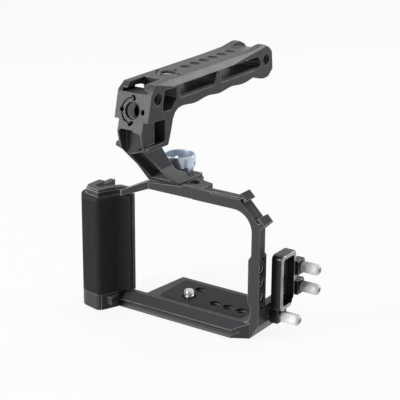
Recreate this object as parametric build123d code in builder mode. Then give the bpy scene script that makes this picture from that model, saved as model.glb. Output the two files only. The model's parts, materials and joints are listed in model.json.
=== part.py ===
"""Camera cage for a compact interchangeable-lens camera, with a side grip, a top handle
held by a 3/8 in locating screw, and a clamp for the video and USB plugs.

Frame: X across the camera (positive towards the camera's left side, on the lens axis at 0),
Y from the front of the cage (negative) to the back, Z up from the underside of the base.
The origin is the mouth of the tripod thread under the base.  All sizes are in millimetres.
"""
from build123d import *
from math import cos, pi, radians, sin
import os

os.makedirs("parts", exist_ok=True)

# ---- threads and fits -------------------------------------------------------------------
QUARTER_R = 3.175           # 1/4 in-20 thread, major radius
THREE_EIGHTHS_R = 4.7625    # 3/8 in-16 thread, major radius
PIN_SPACING = 7.62          # locating pins stand this far each side of the 3/8 in screw
PIN_R = 1.45
M4_R = 2.0
SCREW_FIT = 0.06            # radial clearance of a screw in its thread
PIN_FIT = 0.04
RUN_GAP = 0.05              # axial gap between a turning collar and the washer under it

# ---- base plate -------------------------------------------------------------------------
BASE_FRONT = -32.0
DOVETAIL_WIDTH = 38.0
DOVETAIL_FLANGE = 1.3
DOVETAIL_DEPTH = 3.0
BASE_TOP = 10.0
BASE_LIP = 5.3              # height of the front lip above the floor
BASE_BACK = 12.0
BASE_LEFT = -22.0           # the plate stops here, so that the battery door stays free
BASE_CORNER = 10.5          # diagonal at the front right corner
BAY_FILLET = 5.5            # rounded foot of the camera bay, beside the post
RAIL_DEPTH = 9.0            # front rail that carries the side grip
TONGUE_LEFT = -56.0
TONGUE_THICK = 3.6
TONGUE_SET = 3.5            # the tongue lies this far behind the front

# ---- front frame ------------------------------------------------------------------------
FRAME_FRONT = -26.0
FRAME_DEPTH = 6.0
POST_DEPTH = 8.0
POST_INNER = 54.0
POST_WIDTH = 6.0
POST_CHAMFER = 9.5          # height of the slanted foot of the post
POST_BOSS = 2.0             # thickening behind the three side threads
BOSS_LOW, BOSS_HIGH = 24.0, 51.5
SIDE_THREAD_PITCH = 9.3
SIDE_THREAD_MID = 36.5
BAR_LOW = 82.0
BAR_TOP = 89.8
BAY_CORNER_R = 13.0
STRIP_RIGHT = 11.4          # the bar's front stands back from here to its left end
STRIP_SET = 0.6

# ---- top platform -----------------------------------------------------------------------
PLATFORM_LEFT = -22.7
PLATFORM_RIGHT = 18.0
PLATFORM_TOP = 88.4
PLATFORM_LOW = 84.0
PLATFORM_BACK = -0.8
PAD_LEFT = 2.4
PAD_TOP = 90.4
PAD_BACK = -14.0
SPARE_THREAD_X, SPARE_THREAD_Y = 7.3, -18.5
STRIP_LEFT_TOP = 86.4       # the front face is lower at its left end

# ---- corner cold shoe -------------------------------------------------------------------
SHOE_MID_X, SHOE_MID_Z = 51.85, 81.65
SHOE_LENGTH = 10.0
SHOE_OUTER = 24.4
SHOE_SLOT = 18.6
SHOE_MOUTH = 12.6
SHOE_SLOT_HEIGHT = 2.2
SHOE_LIP = 1.5
SHOE_FLOOR = 3.0

# ---- side grip --------------------------------------------------------------------------
GRIP_BACK = -8.0
GRIP_OUTER = -66.8
BAND_TOP = 10.6
RING_LOW = 76.0
RING_TOP = 80.2
RING_INSET = 3.2
RING_BACK = -24.0           # the top ring stops here
RING_STEP, RING_STEP_HEIGHT = 0.8, 1.4
COVER_THICK = 2.4
SKIN_GAP = 0.05
GRIP_WALL = 2.2
GRIP_START = -35.3          # where the grip runs out on the camera's front
FOOT_BAND_WALL = 5.5
SHELF_THICK = 5.0
SHELF_LENGTH, SHELF_WIDTH = 22.0, 17.0
RING_WIDTH = 5.2
COVER_SHOULDER = 2.0
GRIP_JOINT = -42.0          # right end of the foot band and of the tongue under its shelf
RING_END = -38.0            # right end of the top ring
LAP_FRONT, LAP_WIDTH, LAP_LENGTH, LAP_THICK = -19.6, 6.2, 9.0, 1.9
LAP_SCREW_PITCH = 4.4
SMALL_SCREW_R, SMALL_HEAD_R = 1.25, 2.1
SMALL_HEAD_THICK = 1.0
# sloping arm of the grip frame: x, front, back, underside, top
ARM_SECTIONS = ((-22.7, -25.4, -12.0, 82.0, 87.2), (-30.0, -28.0, -17.0, 79.2, 84.2),
                (-39.0, -32.6, -25.0, 76.4, 80.0))
SEAM_X, SEAM_Y, SEAM_R = -47.3, -44.6, 0.7      # groove down the corner of the foot band

# ---- lug and plug clamp -----------------------------------------------------------------
LUG_TOP = 21.0
LUG_BACK = -2.0
CLAMP_STANDOFF = 2.0        # gap between the post and the clamp's block
CLAMP_THICK = 7.0
CLAMP_FRONT, CLAMP_BACK = -15.0, 3.0
CLAMP_LOW, CLAMP_TOP = 17.0, 53.4
CLAMP_WALL = 2.8
CLAMP_PLATE = 2.0
FOOT_REACH = 6.0            # the clamp's foot stands out from the post by this
FOOT_FRONT, FOOT_REAR = -13.0, -2.6
FOOT_LOW = 8.1
JAW_HEIGHT = 9.0
JAW_LEVELS = (41.5, 28.5)
JAW_SCREW_Y = 6.0
JAW_BACK = 9.6
JAW_LUG = 4.0
JAW_STEP = 2.6              # the jaws stand this far outside the clamp
JAW_GAP = 0.3
JAW_LAP = 2.2
PLUG_DEPTH, PLUG_HEIGHT = 9.0, 9.5
KNOB_R = 3.5
KNOB_LENGTH = 12.2
FIX_SCREW_Y, FIX_SCREW_Z = -8.0, 11.8
LUG_HOLE_Y = -15.6
LOCATING_HOLE_R = 1.1
WASHER_THICK = 0.6

# ---- top handle -------------------------------------------------------------------------
HANDLE_MID = -10.3
HANDLE_WIDTH = 24.6
HANDLE_RISE = 69.3          # from the platform to the top of the handle
GRIP_BAR_HEIGHT = 18.4      # from the mean height of the finger grooves to the top
FOOT_FRONT_Y, FOOT_BACK_Y = -25.0, -1.5
FOOT_THICK = 2.6
ARM_ANGLE = 42.0
ARM_TIP_Y = -58.0
ARM_TOP_RISE = 32.9         # over the platform
ARM_BACK_Y = -15.0          # the arm's back meets the foot here, and goes on: y, rise over
                            # the platform
ARM_BACK = ((-18.3, 7.3), (-26.8, 11.2), (-37.4, 24.5), (-40.6, 28.8), (-38.4, 30.5))
COLUMN_DRAWN = 15.0         # height of the column for which its points are given
COLUMN_BACK = ((-36.7, 1.9), (-35.0, 7.1), (-33.5, 12.4))       # y, height over the arm
PALM_START = ((-31.3, -2.3), (-28.3, -0.4))     # y, height over the finger grooves
WAVE_HEIGHT = 0.6
WAVE_PITCH = 27.0
WAVE_CREST = 3.4
WAVE_DROP = 0.5             # the grooves lie lower towards the head
WAVE_START, WAVE_END = -25.0, 53.0
WAVE_STEPS = 13
# end of the grip bar: y and height over the grooves, then y and height over the top
END_LOW = ((56.3, 0.9), (62.0, -0.8), (66.3, -1.9), (70.0, -2.4), (75.0, -2.1), (80.6, 2.2))
END_HIGH = ((79.3, -4.3), (75.6, -0.9), (70.5, 1.5), (66.0, 1.5), (55.0, 0.0))
EAR_GAP = 14.0
EAR_VALLEY = ((52.0, 0.0), (62.0, -0.6), (81.6, -4.0))      # y and height over the top
HEAD_TOP_Y = -51.3
HEAD_EDGE_Y = -55.3
HEAD_SHOE_DEPTH = 5.6
HEAD_CHIN_Y, HEAD_CHIN_DROP = -58.9, 21.4       # y, depth under the top
HEAD_DEPTH, HEAD_RISE = 14.4, 1.0       # underside of the head, up to the column's window
WINDOW_BACK_Y = -41.6
COLUMN_BACK_Y = -48.0
COLUMN_WIDTH = 17.8
COLUMN_FRONT = ((-60.9, 7.7), (-59.8, 3.0), (-58.4, -1.8))      # y, height over the arm
COLUMN_FOOT = 28.6          # over the platform
# hollow in the front of the column: its bottom over the platform, and its top as x from the
# middle and height over the arm
HOLLOW_BOTTOM_LEFT, HOLLOW_BOTTOM_RIGHT = 23.6, 30.9
HOLLOW_WIDTH = 15.6
HOLLOW_TOP = ((7.8, 8.0), (3.6, 8.6), (1.3, 9.7), (-5.7, 9.6), (-7.8, 8.7))
HOLLOW_REACH_Y = -53.0
FLANK_LOW, FLANK_CREASE, FLANK_TOP = 1.3, 14.6, 30.1     # over the platform
ARM_POCKET = ((-6.9, 5.0), (6.9, 5.0), (6.9, 43.3), (-6.9, 35.9))   # x, length up the arm
ARM_POCKET_DEPTH = 5.5
EDGE_CHAMFER_W, EDGE_CHAMFER_H = 1.7, 4.4
# the top edge's chamfer starts at the head and runs out on the ears: y, share of its height
CHAMFER_RIGHT = ((-51.8, -0.05), (-33.0, 1.0), (32.0, 1.0), (71.0, -0.07), (74.0, -0.15))
CHAMFER_LEFT = ((-60.0, 1.0), (32.0, 1.0), (71.0, -0.07), (74.0, -0.15))
# windows through the grip bar, seen from the side: y, z
SLOT_RISE, SLOT_ROOF = 6.7, 4.6         # over the grooves and under the top
SLOT_CORNER = 1.5
FRONT_SLOT = (-26.8, 12.0)
BACK_SLOT = (18.0, 64.0)
SLOT_LEAN = 1.9             # the far ends of the windows lean by this
LIP_WIDTH, LIP_HEIGHT = 1.0, 1.4
HEAD_WINDOW = ((-42.1, -4.7), (-29.8, -5.6), (-29.2, -11.7), (-35.7, -18.0), (-43.9, -17.6),
               (-43.9, -12.7))          # y and height over the top
HEAD_SHOE_LENGTH = 18.5
TOP_THREAD_START = -2.5
TOP_THREAD_PITCH = 10.05
TOP_THREADS = 6
TOP_SCREW_Y = -20.7
HEAD_SCREW_DROP = 15.7      # under the top
HEAD_SCREW_DEPTH = 9.0
PIN_HOLE_R, PIN_HOLE_DEPTH = 1.2, 3.0
ARC_WIDTH, ARC_DEPTH = 1.2, 0.6
HEAD_THREAD_Y, HEAD_THREAD_DROP = -48.8, 9.1
END_THREAD_Y, END_THREAD_DROP = 72.3, 8.7
SIDE_THREAD_DEPTH = 5.0

# ---- locating screw of the handle -------------------------------------------------------
SCREW_Y = -9.2              # axis of the 3/8 in screw
CUP_R = 10.1
CUP_RUN = 1.2               # clearance around the cup
CUP_LIFT = 26.0             # and above the foot
CUP_BASE_R = 8.6
CUP_HEIGHT = 12.2
CUP_FLARE = 5.0             # height at which the cup reaches its full width
CUP_WALL = 1.3
CUP_FLOOR = 2.6
CUP_BORE_R = 3.6
CUP_HOLES = 6
CUP_TURN = 17.0
CUP_HOLE_R = 1.3
CUP_HOLE_HEIGHT = 6.2
SCREW_HEAD_R = 5.2
SCREW_TIP_Z = 84.3
PIN_REACH = 3.0

# ---- camera screw -----------------------------------------------------------------------
CAMERA_SCREW_Y = -13.0
CAMERA_HEAD_R = 6.8
CAMERA_HEAD_THICK = 2.4
CAMERA_POCKET_R = 7.1
CAMERA_POCKET_DEPTH = 6.3
CAMERA_SCREW_REACH = 5.0
CAMERA_SHANK_R = 2.5        # relieved shank that keeps the screw captive
CAMERA_NECK = 0.7           # the thread starts this far above the base
CAMERA_HOLE_FIT = 0.1

# ---- rubber pad under the camera --------------------------------------------------------
PAD_X, PAD_Y = 14.0, -7.0
PAD_LENGTH, PAD_WIDTH = 62.0, 30.0
PAD_THICK = 1.4
PAD_SUNK = 1.0
CLAMP_PIN_R = 1.0

# worked out from the sizes above
post_outer = POST_INNER + POST_WIDTH
clamp_inner = post_outer + CLAMP_STANDOFF
clamp_outer = clamp_inner + CLAMP_THICK
clamp_foot_outer = post_outer + FOOT_REACH
base_dovetail_back = BASE_FRONT + DOVETAIL_WIDTH
side_thread_levels = [SIDE_THREAD_MID + i * SIDE_THREAD_PITCH for i in (-1, 0, 1)]
side_thread_y = FRAME_FRONT + POST_DEPTH / 2
handle_left = HANDLE_MID - HANDLE_WIDTH / 2
handle_right = HANDLE_MID + HANDLE_WIDTH / 2
foot_top = PLATFORM_TOP + FOOT_THICK
handle_top = PLATFORM_TOP + HANDLE_RISE
handle_low = handle_top - GRIP_BAR_HEIGHT
head_chin_z = handle_top - HEAD_CHIN_DROP
arm_top_z = PLATFORM_TOP + ARM_TOP_RISE
column_stretch = (head_chin_z - arm_top_z) / COLUMN_DRAWN
column_foot_z = PLATFORM_TOP + COLUMN_FOOT
flank_low, flank_crease, flank_top = [PLATFORM_TOP + rise for rise in
                                      (FLANK_LOW, FLANK_CREASE, FLANK_TOP)]
base_threads = [(0, 0)] + [(x, CAMERA_SCREW_Y) for x in (20, 30, 40)]
pin_places = [(HANDLE_MID + i * PIN_SPACING, SCREW_Y) for i in (-1, 1)]
lap_screws = [(PLATFORM_LEFT + 2.4 + i * LAP_SCREW_PITCH, LAP_FRONT + LAP_WIDTH / 2)
              for i in (0, 1)]
foot_screws = [(x, BASE_FRONT + 6.2) for x in (-51, -46)]
clamp_pin_places = [(FIX_SCREW_Y + i * 3.2, LUG_TOP - 3.4) for i in (-1, 1)]
head_floor = handle_top - HEAD_SHOE_DEPTH
head_screw_z = handle_top - HEAD_SCREW_DROP
slot_low, slot_top = handle_low + SLOT_RISE, handle_top - SLOT_ROOF
head_slope = (HEAD_CHIN_Y - HEAD_EDGE_Y) / (head_floor - head_chin_z)
head_screw_y = HEAD_EDGE_Y + head_slope * (head_floor - head_screw_z)
head_plane = Plane(origin=(HANDLE_MID, head_screw_y, head_screw_z), x_dir=(1, 0, 0),
                   z_dir=(0, -1, -head_slope))
arm_run = Vector(0, -cos(radians(ARM_ANGLE)), sin(radians(ARM_ANGLE)))
arm_down = Vector(0, -sin(radians(ARM_ANGLE)), -cos(radians(ARM_ANGLE)))
jaw_outer = clamp_outer + JAW_STEP
flank_inset = (HANDLE_WIDTH - COLUMN_WIDTH) / 2
hollow_left, hollow_right = HANDLE_MID - HOLLOW_WIDTH / 2, HANDLE_MID + HOLLOW_WIDTH / 2


def finish_part(part, name):
    """Label a finished piece and write it to its own file."""
    part.label = name
    export_step(part, f"parts/{name}.step")


# =========================================================================================
# Cage frame: base plate, post, top bar, platform and corner shoe, milled from one block
# =========================================================================================
groove_top = DOVETAIL_FLANGE + DOVETAIL_DEPTH
with BuildPart() as cage_frame:
    # base plate: a 45 degree dovetail runs along its front and back
    with BuildSketch(Plane.YZ.offset(TONGUE_LEFT)):
        with BuildLine():
            Polyline(
                (BASE_FRONT, 0), (base_dovetail_back, 0),
                (base_dovetail_back, DOVETAIL_FLANGE),
                (base_dovetail_back - DOVETAIL_DEPTH, groove_top),
                (BASE_BACK, groove_top), (BASE_BACK, BASE_TOP),
                (FRAME_FRONT, BASE_TOP), (BASE_FRONT, BASE_LIP), (BASE_FRONT, groove_top),
                (BASE_FRONT + DOVETAIL_DEPTH, groove_top), (BASE_FRONT, DOVETAIL_FLANGE),
                close=True)
        make_face()
    extrude(amount=POST_INNER - TONGUE_LEFT)
    with BuildSketch(Plane.XY):
        with BuildLine():
            Polyline(
                (TONGUE_LEFT, BASE_FRONT), (POST_INNER - BASE_CORNER, BASE_FRONT),
                (POST_INNER, FRAME_FRONT), (POST_INNER, BASE_BACK), (BASE_LEFT, BASE_BACK),
                (BASE_LEFT - 4, BASE_FRONT + RAIL_DEPTH), (TONGUE_LEFT, BASE_FRONT + RAIL_DEPTH),
                close=True)
        make_face()
    extrude(amount=BASE_TOP, mode=Mode.INTERSECT)
    # the left end of the rail is a thin tongue under the grip's foot
    with BuildSketch(Plane.XY.offset(TONGUE_THICK)):
        with Locations((TONGUE_LEFT, BASE_FRONT)):
            Rectangle(GRIP_JOINT - TONGUE_LEFT, 2 * RAIL_DEPTH, align=(Align.MIN, Align.CENTER))
    extrude(amount=BASE_TOP, mode=Mode.SUBTRACT)
    with BuildSketch(Plane.XY):
        with Locations((TONGUE_LEFT, BASE_FRONT - 1)):
            Rectangle(GRIP_JOINT - TONGUE_LEFT, TONGUE_SET + 1, align=(Align.MIN, Align.MIN))
    extrude(amount=BASE_TOP, mode=Mode.SUBTRACT)

    # post, with the slanted foot that also carries the lug of the plug clamp
    with BuildSketch(Plane.XZ.offset(-FRAME_FRONT)):
        with BuildLine():
            Polyline(
                (POST_INNER - 4, 0), (POST_INNER, 0), (post_outer, POST_CHAMFER),
                (post_outer, BAR_LOW - 6), (POST_INNER, BAR_LOW - 6), (POST_INNER, BASE_TOP),
                (POST_INNER - 4, BASE_TOP), close=True)
        make_face()
    extrude(amount=-FRAME_DEPTH)
    with BuildSketch(Plane.XZ.offset(-FRAME_FRONT)):
        with BuildLine():
            Polyline(
                (POST_INNER - 4, 0), (POST_INNER, 0), (post_outer, POST_CHAMFER),
                (post_outer, BOSS_HIGH + 3), (post_outer - 2, BOSS_HIGH + 5),
                (POST_INNER, BOSS_HIGH + 5), (POST_INNER, BOSS_HIGH + 3),
                (POST_INNER - POST_BOSS, BOSS_HIGH), (POST_INNER - POST_BOSS, BOSS_LOW),
                (POST_INNER, BOSS_LOW - 3), (POST_INNER, BASE_TOP), (POST_INNER - 4, BASE_TOP),
                close=True)
        make_face()
    extrude(amount=-POST_DEPTH)
    with BuildSketch(Plane.XZ.offset(-FRAME_FRONT)):
        with BuildLine():
            Polyline((POST_INNER - BAY_FILLET, BASE_TOP), (POST_INNER + 1, BASE_TOP - 1),
                     (POST_INNER + 1, BASE_TOP + BAY_FILLET), (POST_INNER, BASE_TOP + BAY_FILLET))
            RadiusArc((POST_INNER, BASE_TOP + BAY_FILLET), (POST_INNER - BAY_FILLET, BASE_TOP),
                      BAY_FILLET)
        make_face()
    extrude(amount=-POST_DEPTH)
    with BuildSketch(Plane.XZ.offset(-FRAME_FRONT - 2)):
        with BuildLine():
            Polyline(
                (POST_INNER - 3, 0), (POST_INNER, 0), (post_outer, POST_CHAMFER),
                (post_outer, LUG_TOP), (POST_INNER + 0.5, LUG_TOP), (POST_INNER + 0.5, BASE_TOP),
                (POST_INNER - 3, BASE_TOP), close=True)
        make_face()
    extrude(amount=-(LUG_BACK - FRAME_FRONT - 2))

    # top bar, with the rounded corner of the camera bay
    with BuildSketch(Plane.XZ.offset(-FRAME_FRONT)):
        with BuildLine():
            Polyline(
                (PLATFORM_LEFT, BAR_LOW), (PLATFORM_LEFT, PLATFORM_TOP), (PAD_LEFT, PLATFORM_TOP),
                (PAD_LEFT, BAR_TOP), (SHOE_MID_X - SHOE_OUTER / 2 * 0.707, BAR_TOP),
                (SHOE_MID_X + 0.5, SHOE_MID_Z), (post_outer, BAR_LOW - 8),
                (POST_INNER, BAR_LOW - BAY_CORNER_R))
            RadiusArc((POST_INNER, BAR_LOW - BAY_CORNER_R), (POST_INNER - BAY_CORNER_R, BAR_LOW),
                      -BAY_CORNER_R)
            Line((POST_INNER - BAY_CORNER_R, BAR_LOW), (PLATFORM_LEFT, BAR_LOW))
        make_face()
    extrude(amount=-FRAME_DEPTH)

    # platform for the handle, and the raised pad beside it
    with BuildSketch(Plane.XY.offset(PLATFORM_LOW)):
        with BuildLine():
            Polyline(
                (PLATFORM_LEFT, FRAME_FRONT), (PLATFORM_RIGHT, FRAME_FRONT),
                (PLATFORM_RIGHT, PAD_BACK), (PAD_LEFT, PAD_BACK + 4), (PAD_LEFT, PLATFORM_BACK),
                (PLATFORM_LEFT, PLATFORM_BACK), close=True)
        make_face()
    extrude(amount=PLATFORM_TOP - PLATFORM_LOW)
    with BuildSketch(Plane.XY.offset(PLATFORM_LOW)):
        with BuildLine():
            Polyline(
                (PAD_LEFT, FRAME_FRONT + 1), (PLATFORM_RIGHT, FRAME_FRONT + 1),
                (PLATFORM_RIGHT, PAD_BACK), (PAD_LEFT, PAD_BACK + 4), close=True)
        make_face()
    extrude(amount=PAD_TOP - PLATFORM_LOW)

    # corner cold shoe: a T slot at 45 degrees, open to the front and the back
    shoe_plane = Plane(origin=(SHOE_MID_X, FRAME_FRONT, SHOE_MID_Z),
                       x_dir=(1, 0, -1), z_dir=(0, 1, 0))
    with BuildSketch(shoe_plane) as shoe_slot:
        with Locations((0, SHOE_FLOOR)):
            Rectangle(SHOE_OUTER, SHOE_FLOOR + SHOE_SLOT_HEIGHT + SHOE_LIP,
                      align=(Align.CENTER, Align.MAX))
        with Locations((0, 0)):
            Rectangle(SHOE_SLOT, SHOE_SLOT_HEIGHT, align=(Align.CENTER, Align.MAX),
                      mode=Mode.SUBTRACT)
            Rectangle(SHOE_MOUTH, SHOE_SLOT_HEIGHT + 2 * SHOE_LIP,
                      align=(Align.CENTER, Align.MAX), mode=Mode.SUBTRACT)
        lip_tips = shoe_slot.vertices().sort_by(Axis.Y)[:4]
        fillet(lip_tips.sort_by(Axis.X)[0:1] + lip_tips.sort_by(Axis.X)[-1:], 0.7)
    extrude(amount=SHOE_LENGTH)

    # the front face is lower at its left end, where the handle overhangs it
    with BuildSketch(Plane.XZ.offset(-FRAME_FRONT)):
        with BuildLine():
            Polyline((PLATFORM_LEFT - 1, STRIP_LEFT_TOP), (PAD_LEFT, PLATFORM_TOP + 0.1),
                     (PLATFORM_LEFT - 1, PLATFORM_TOP + 0.1), close=True)
        make_face()
    extrude(amount=-1.8, mode=Mode.SUBTRACT)
    # the bar's front stands back a little over its left part
    with BuildSketch(Plane.XY.offset(BAR_LOW - 1)):
        with BuildLine():
            Polyline((PLATFORM_LEFT - 1, FRAME_FRONT - 1), (STRIP_RIGHT + 2 * STRIP_SET, FRAME_FRONT - 1),
                     (STRIP_RIGHT, FRAME_FRONT), (STRIP_RIGHT - 2 * STRIP_SET, FRAME_FRONT + STRIP_SET),
                     (PLATFORM_LEFT - 1, FRAME_FRONT + STRIP_SET), close=True)
        make_face()
    extrude(amount=PAD_TOP - BAR_LOW + 2, mode=Mode.SUBTRACT)
    # slanted facet beside the platform
    with BuildSketch(Plane.XY.offset(BAR_TOP)):
        with BuildLine():
            Polyline((PLATFORM_RIGHT + 6, FRAME_FRONT), (SHOE_MID_X, FRAME_FRONT),
                     (SHOE_MID_X, FRAME_FRONT + 1), (PLATFORM_RIGHT + 9, FRAME_FRONT + 1), close=True)
        make_face()
    extrude(amount=-1, mode=Mode.SUBTRACT)

    # recess for the rubber pad under the camera
    with BuildSketch(Plane.XY.offset(BASE_TOP)):
        with Locations((PAD_X, PAD_Y)):
            RectangleRounded(PAD_LENGTH + 2 * SKIN_GAP, PAD_WIDTH + 2 * SKIN_GAP, 3)
    extrude(amount=-PAD_SUNK, mode=Mode.SUBTRACT)

    # camera screw: a pocket for its head under the base and a clear hole above
    with BuildSketch(Plane.XY):
        with Locations((0, CAMERA_SCREW_Y)):
            Circle(CAMERA_POCKET_R)
    extrude(amount=CAMERA_POCKET_DEPTH, mode=Mode.SUBTRACT)
    with BuildSketch(Plane.XY):
        with Locations((0, CAMERA_SCREW_Y)):
            Circle(QUARTER_R + CAMERA_HOLE_FIT)
        # tripod thread on the origin and the row of spare threads
        with Locations(*base_threads):
            Circle(QUARTER_R)
    extrude(amount=BASE_TOP, mode=Mode.SUBTRACT)

    # three 1/4 in threads through the post, with small locating holes between them
    with BuildSketch(Plane.YZ.offset(POST_INNER - POST_BOSS)):
        with Locations(*[(side_thread_y, z) for z in side_thread_levels]):
            Circle(QUARTER_R)
    extrude(amount=POST_WIDTH + POST_BOSS, mode=Mode.SUBTRACT)
    with BuildSketch(Plane.YZ.offset(post_outer)):
        with Locations(*[(side_thread_y + 1.2, z) for z in (
                side_thread_levels[0] - SIDE_THREAD_PITCH * 0.75,
                side_thread_levels[2] + SIDE_THREAD_PITCH * 0.75)]):
            Circle(LOCATING_HOLE_R)
    extrude(amount=-3, mode=Mode.SUBTRACT)

    # thread and locating holes that carry the handle, and one spare thread beside them
    with BuildSketch(Plane.XY.offset(PLATFORM_LOW)):
        with Locations((HANDLE_MID, SCREW_Y)):
            Circle(THREE_EIGHTHS_R)
        with Locations(*pin_places):
            Circle(PIN_R + PIN_FIT)
        with Locations((SPARE_THREAD_X, SPARE_THREAD_Y)):
            Circle(QUARTER_R)
    extrude(amount=PAD_TOP - PLATFORM_LOW, mode=Mode.SUBTRACT)

    # lap joint of the grip frame, under the left end of the platform
    with BuildSketch(Plane.XY.offset(PLATFORM_LOW)):
        with Locations((PLATFORM_LEFT, LAP_FRONT)):
            Rectangle(LAP_LENGTH, LAP_WIDTH, align=(Align.MIN, Align.MIN))
    extrude(amount=LAP_THICK, mode=Mode.SUBTRACT)
    with BuildSketch(Plane.XY.offset(PLATFORM_LOW)):
        with Locations(*lap_screws):
            Circle(SMALL_SCREW_R)
    extrude(amount=PLATFORM_TOP - PLATFORM_LOW - 0.8, mode=Mode.SUBTRACT)
    with BuildSketch(Plane.XY):
        with Locations(*foot_screws):
            Circle(SMALL_SCREW_R + 0.1)
    extrude(amount=TONGUE_THICK, mode=Mode.SUBTRACT)
    for place in foot_screws:
        with Locations(Location((place[0], place[1], 0), (180, 0, 0))):
            CounterSinkHole(SMALL_SCREW_R + 0.1, SMALL_HEAD_R + 0.15, depth=TONGUE_THICK)

    # thread and locating pins of the plug clamp, in the lug beside the post
    with BuildSketch(Plane.YZ.offset(POST_INNER)):
        with Locations((FIX_SCREW_Y, FIX_SCREW_Z)):
            Circle(M4_R + SCREW_FIT)
        with Locations(*clamp_pin_places):
            Circle(CLAMP_PIN_R + PIN_FIT)
        with Locations((LUG_HOLE_Y, FIX_SCREW_Z)):
            Circle(LOCATING_HOLE_R)
    extrude(amount=POST_WIDTH, mode=Mode.SUBTRACT)
finish_part(cage_frame.part, "cage_frame")

# =========================================================================================
# Side grip: a wall that follows the camera's own grip, between a foot band and a top ring
# =========================================================================================


def grip_shell(outer_inset, inner_inset, front_clip=GRIP_START, back_clip=GRIP_BACK):
    """Face between two insets of the grip's outer contour, open towards the camera."""
    with BuildSketch() as shell:
        for inset, mode in ((outer_inset, Mode.ADD), (inner_inset, Mode.SUBTRACT)):
            if inset is None:
                continue
            with BuildSketch(mode=Mode.PRIVATE) as contour:
                with BuildLine():
                    route = FilletPolyline(
                        (-20, -20.6), (-41, -30.5), (-47.6, -46), (GRIP_OUTER, -41.8),
                        (GRIP_OUTER, 20), radius=[11, 3.8, 9.5])
                    Polyline(route @ 1, (-20, 20), route @ 0)
                make_face()
                if inset:
                    offset(amount=-inset)
            add(contour.sketch, mode=mode)
        with Locations((front_clip, back_clip)):
            Rectangle(60, 60, align=(Align.MAX, Align.MAX), mode=Mode.INTERSECT)
    return shell.sketch


with BuildPart() as grip_frame:
    # foot band
    with BuildSketch(Plane.XY):
        add(grip_shell(0, FOOT_BAND_WALL, GRIP_JOINT))
    extrude(amount=BAND_TOP)
    with BuildSketch(Plane.XY):
        with Locations((SEAM_X, SEAM_Y)):
            Circle(SEAM_R)
    extrude(amount=BAND_TOP, mode=Mode.SUBTRACT)
    # shelf over the tongue of the base
    with BuildSketch(Plane.XY.offset(TONGUE_THICK)):
        with Locations((GRIP_JOINT, BASE_FRONT + RAIL_DEPTH)):
            Rectangle(SHELF_LENGTH, SHELF_WIDTH, align=(Align.MAX, Align.MAX))
    extrude(amount=SHELF_THICK)
    with BuildSketch(Plane.XY):
        with Locations((TONGUE_LEFT, BASE_FRONT + TONGUE_SET)):
            Rectangle(GRIP_JOINT - TONGUE_LEFT, SHELF_WIDTH, align=(Align.MIN, Align.MIN))
    extrude(amount=TONGUE_THICK, mode=Mode.SUBTRACT)
    # upright wall inside the rubber cover
    with BuildSketch(Plane.XY.offset(BAND_TOP)):
        add(grip_shell(COVER_THICK + SKIN_GAP, COVER_THICK + SKIN_GAP + GRIP_WALL))
    extrude(amount=RING_LOW - BAND_TOP)
    # top ring
    with BuildSketch(Plane.XY.offset(RING_LOW)):
        add(grip_shell(RING_INSET, RING_INSET + RING_WIDTH, RING_END, RING_BACK))
    extrude(amount=RING_TOP - RING_LOW - RING_STEP_HEIGHT)
    with BuildSketch(Plane.XY.offset(RING_TOP - RING_STEP_HEIGHT)):
        add(grip_shell(RING_INSET + RING_STEP, RING_INSET + RING_WIDTH, RING_END, RING_BACK))
    extrude(amount=RING_STEP_HEIGHT)
    # sloping arm from the ring up to the top bar
    for x, front, back, low, top in ARM_SECTIONS:
        with BuildSketch(Plane.YZ.offset(x)):
            with BuildLine():
                Polyline((front, low), (back, low), (back, top), (front, top), close=True)
            make_face()
    loft(ruled=True)
    # lap under the platform
    with BuildSketch(Plane.XY.offset(PLATFORM_LOW)):
        with Locations((PLATFORM_LEFT - 1, LAP_FRONT + SKIN_GAP)):
            Rectangle(LAP_LENGTH + 1 - SKIN_GAP, LAP_WIDTH - 2 * SKIN_GAP,
                      align=(Align.MIN, Align.MIN))
    extrude(amount=LAP_THICK)
    with BuildSketch(Plane.XY.offset(PLATFORM_LOW)):
        with Locations(*lap_screws):
            Circle(SMALL_SCREW_R + 0.1)
    extrude(amount=LAP_THICK, mode=Mode.SUBTRACT)
    with BuildSketch(Plane.XY.offset(TONGUE_THICK)):
        with Locations(*foot_screws):
            Circle(SMALL_SCREW_R)
    extrude(amount=SHELF_THICK - 0.6, mode=Mode.SUBTRACT)
finish_part(grip_frame.part, "grip_frame")

with BuildPart() as grip_cover:
    with BuildSketch(Plane.XY.offset(BAND_TOP + SKIN_GAP)):
        add(grip_shell(0, COVER_THICK))
    extrude(amount=RING_LOW - COVER_SHOULDER - BAND_TOP - SKIN_GAP)
    with BuildSketch(Plane.XY.offset(RING_LOW - COVER_SHOULDER)):
        add(grip_shell(0, COVER_THICK))
    extrude(amount=COVER_SHOULDER - SKIN_GAP)
    outer_rim = grip_cover.edges().group_by(Axis.Z)[-1]
    chamfer(outer_rim.filter_by(lambda e: e.length > 3).sort_by(SortBy.LENGTH)[-2:], 1.0)
finish_part(grip_cover.part, "grip_cover")

# =========================================================================================
# Top handle: one milled piece from the foot on the platform to the end of the grip bar
# =========================================================================================


def along_arm(length):
    """Point in the side view, at a length up the arm from the foot's front edge."""
    start = Vector(0, FOOT_FRONT_Y, PLATFORM_TOP)
    return start + arm_run * length


def side_point(point):
    """A point of the side view as sketch coordinates of a YZ plane."""
    return (point.Y, point.Z)


def over_arm(points):
    """Points of the column, which stretches between the arm's top and the head's chin."""
    return [(across, arm_top_z + height * column_stretch) for across, height in points]


def wave(y):
    """Height of the finger grooves under the grip bar."""
    drop = WAVE_DROP * (WAVE_END - y) / (WAVE_END - WAVE_START)
    return handle_low - drop + WAVE_HEIGHT * cos(2 * pi * (y - WAVE_CREST) / WAVE_PITCH)


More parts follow.
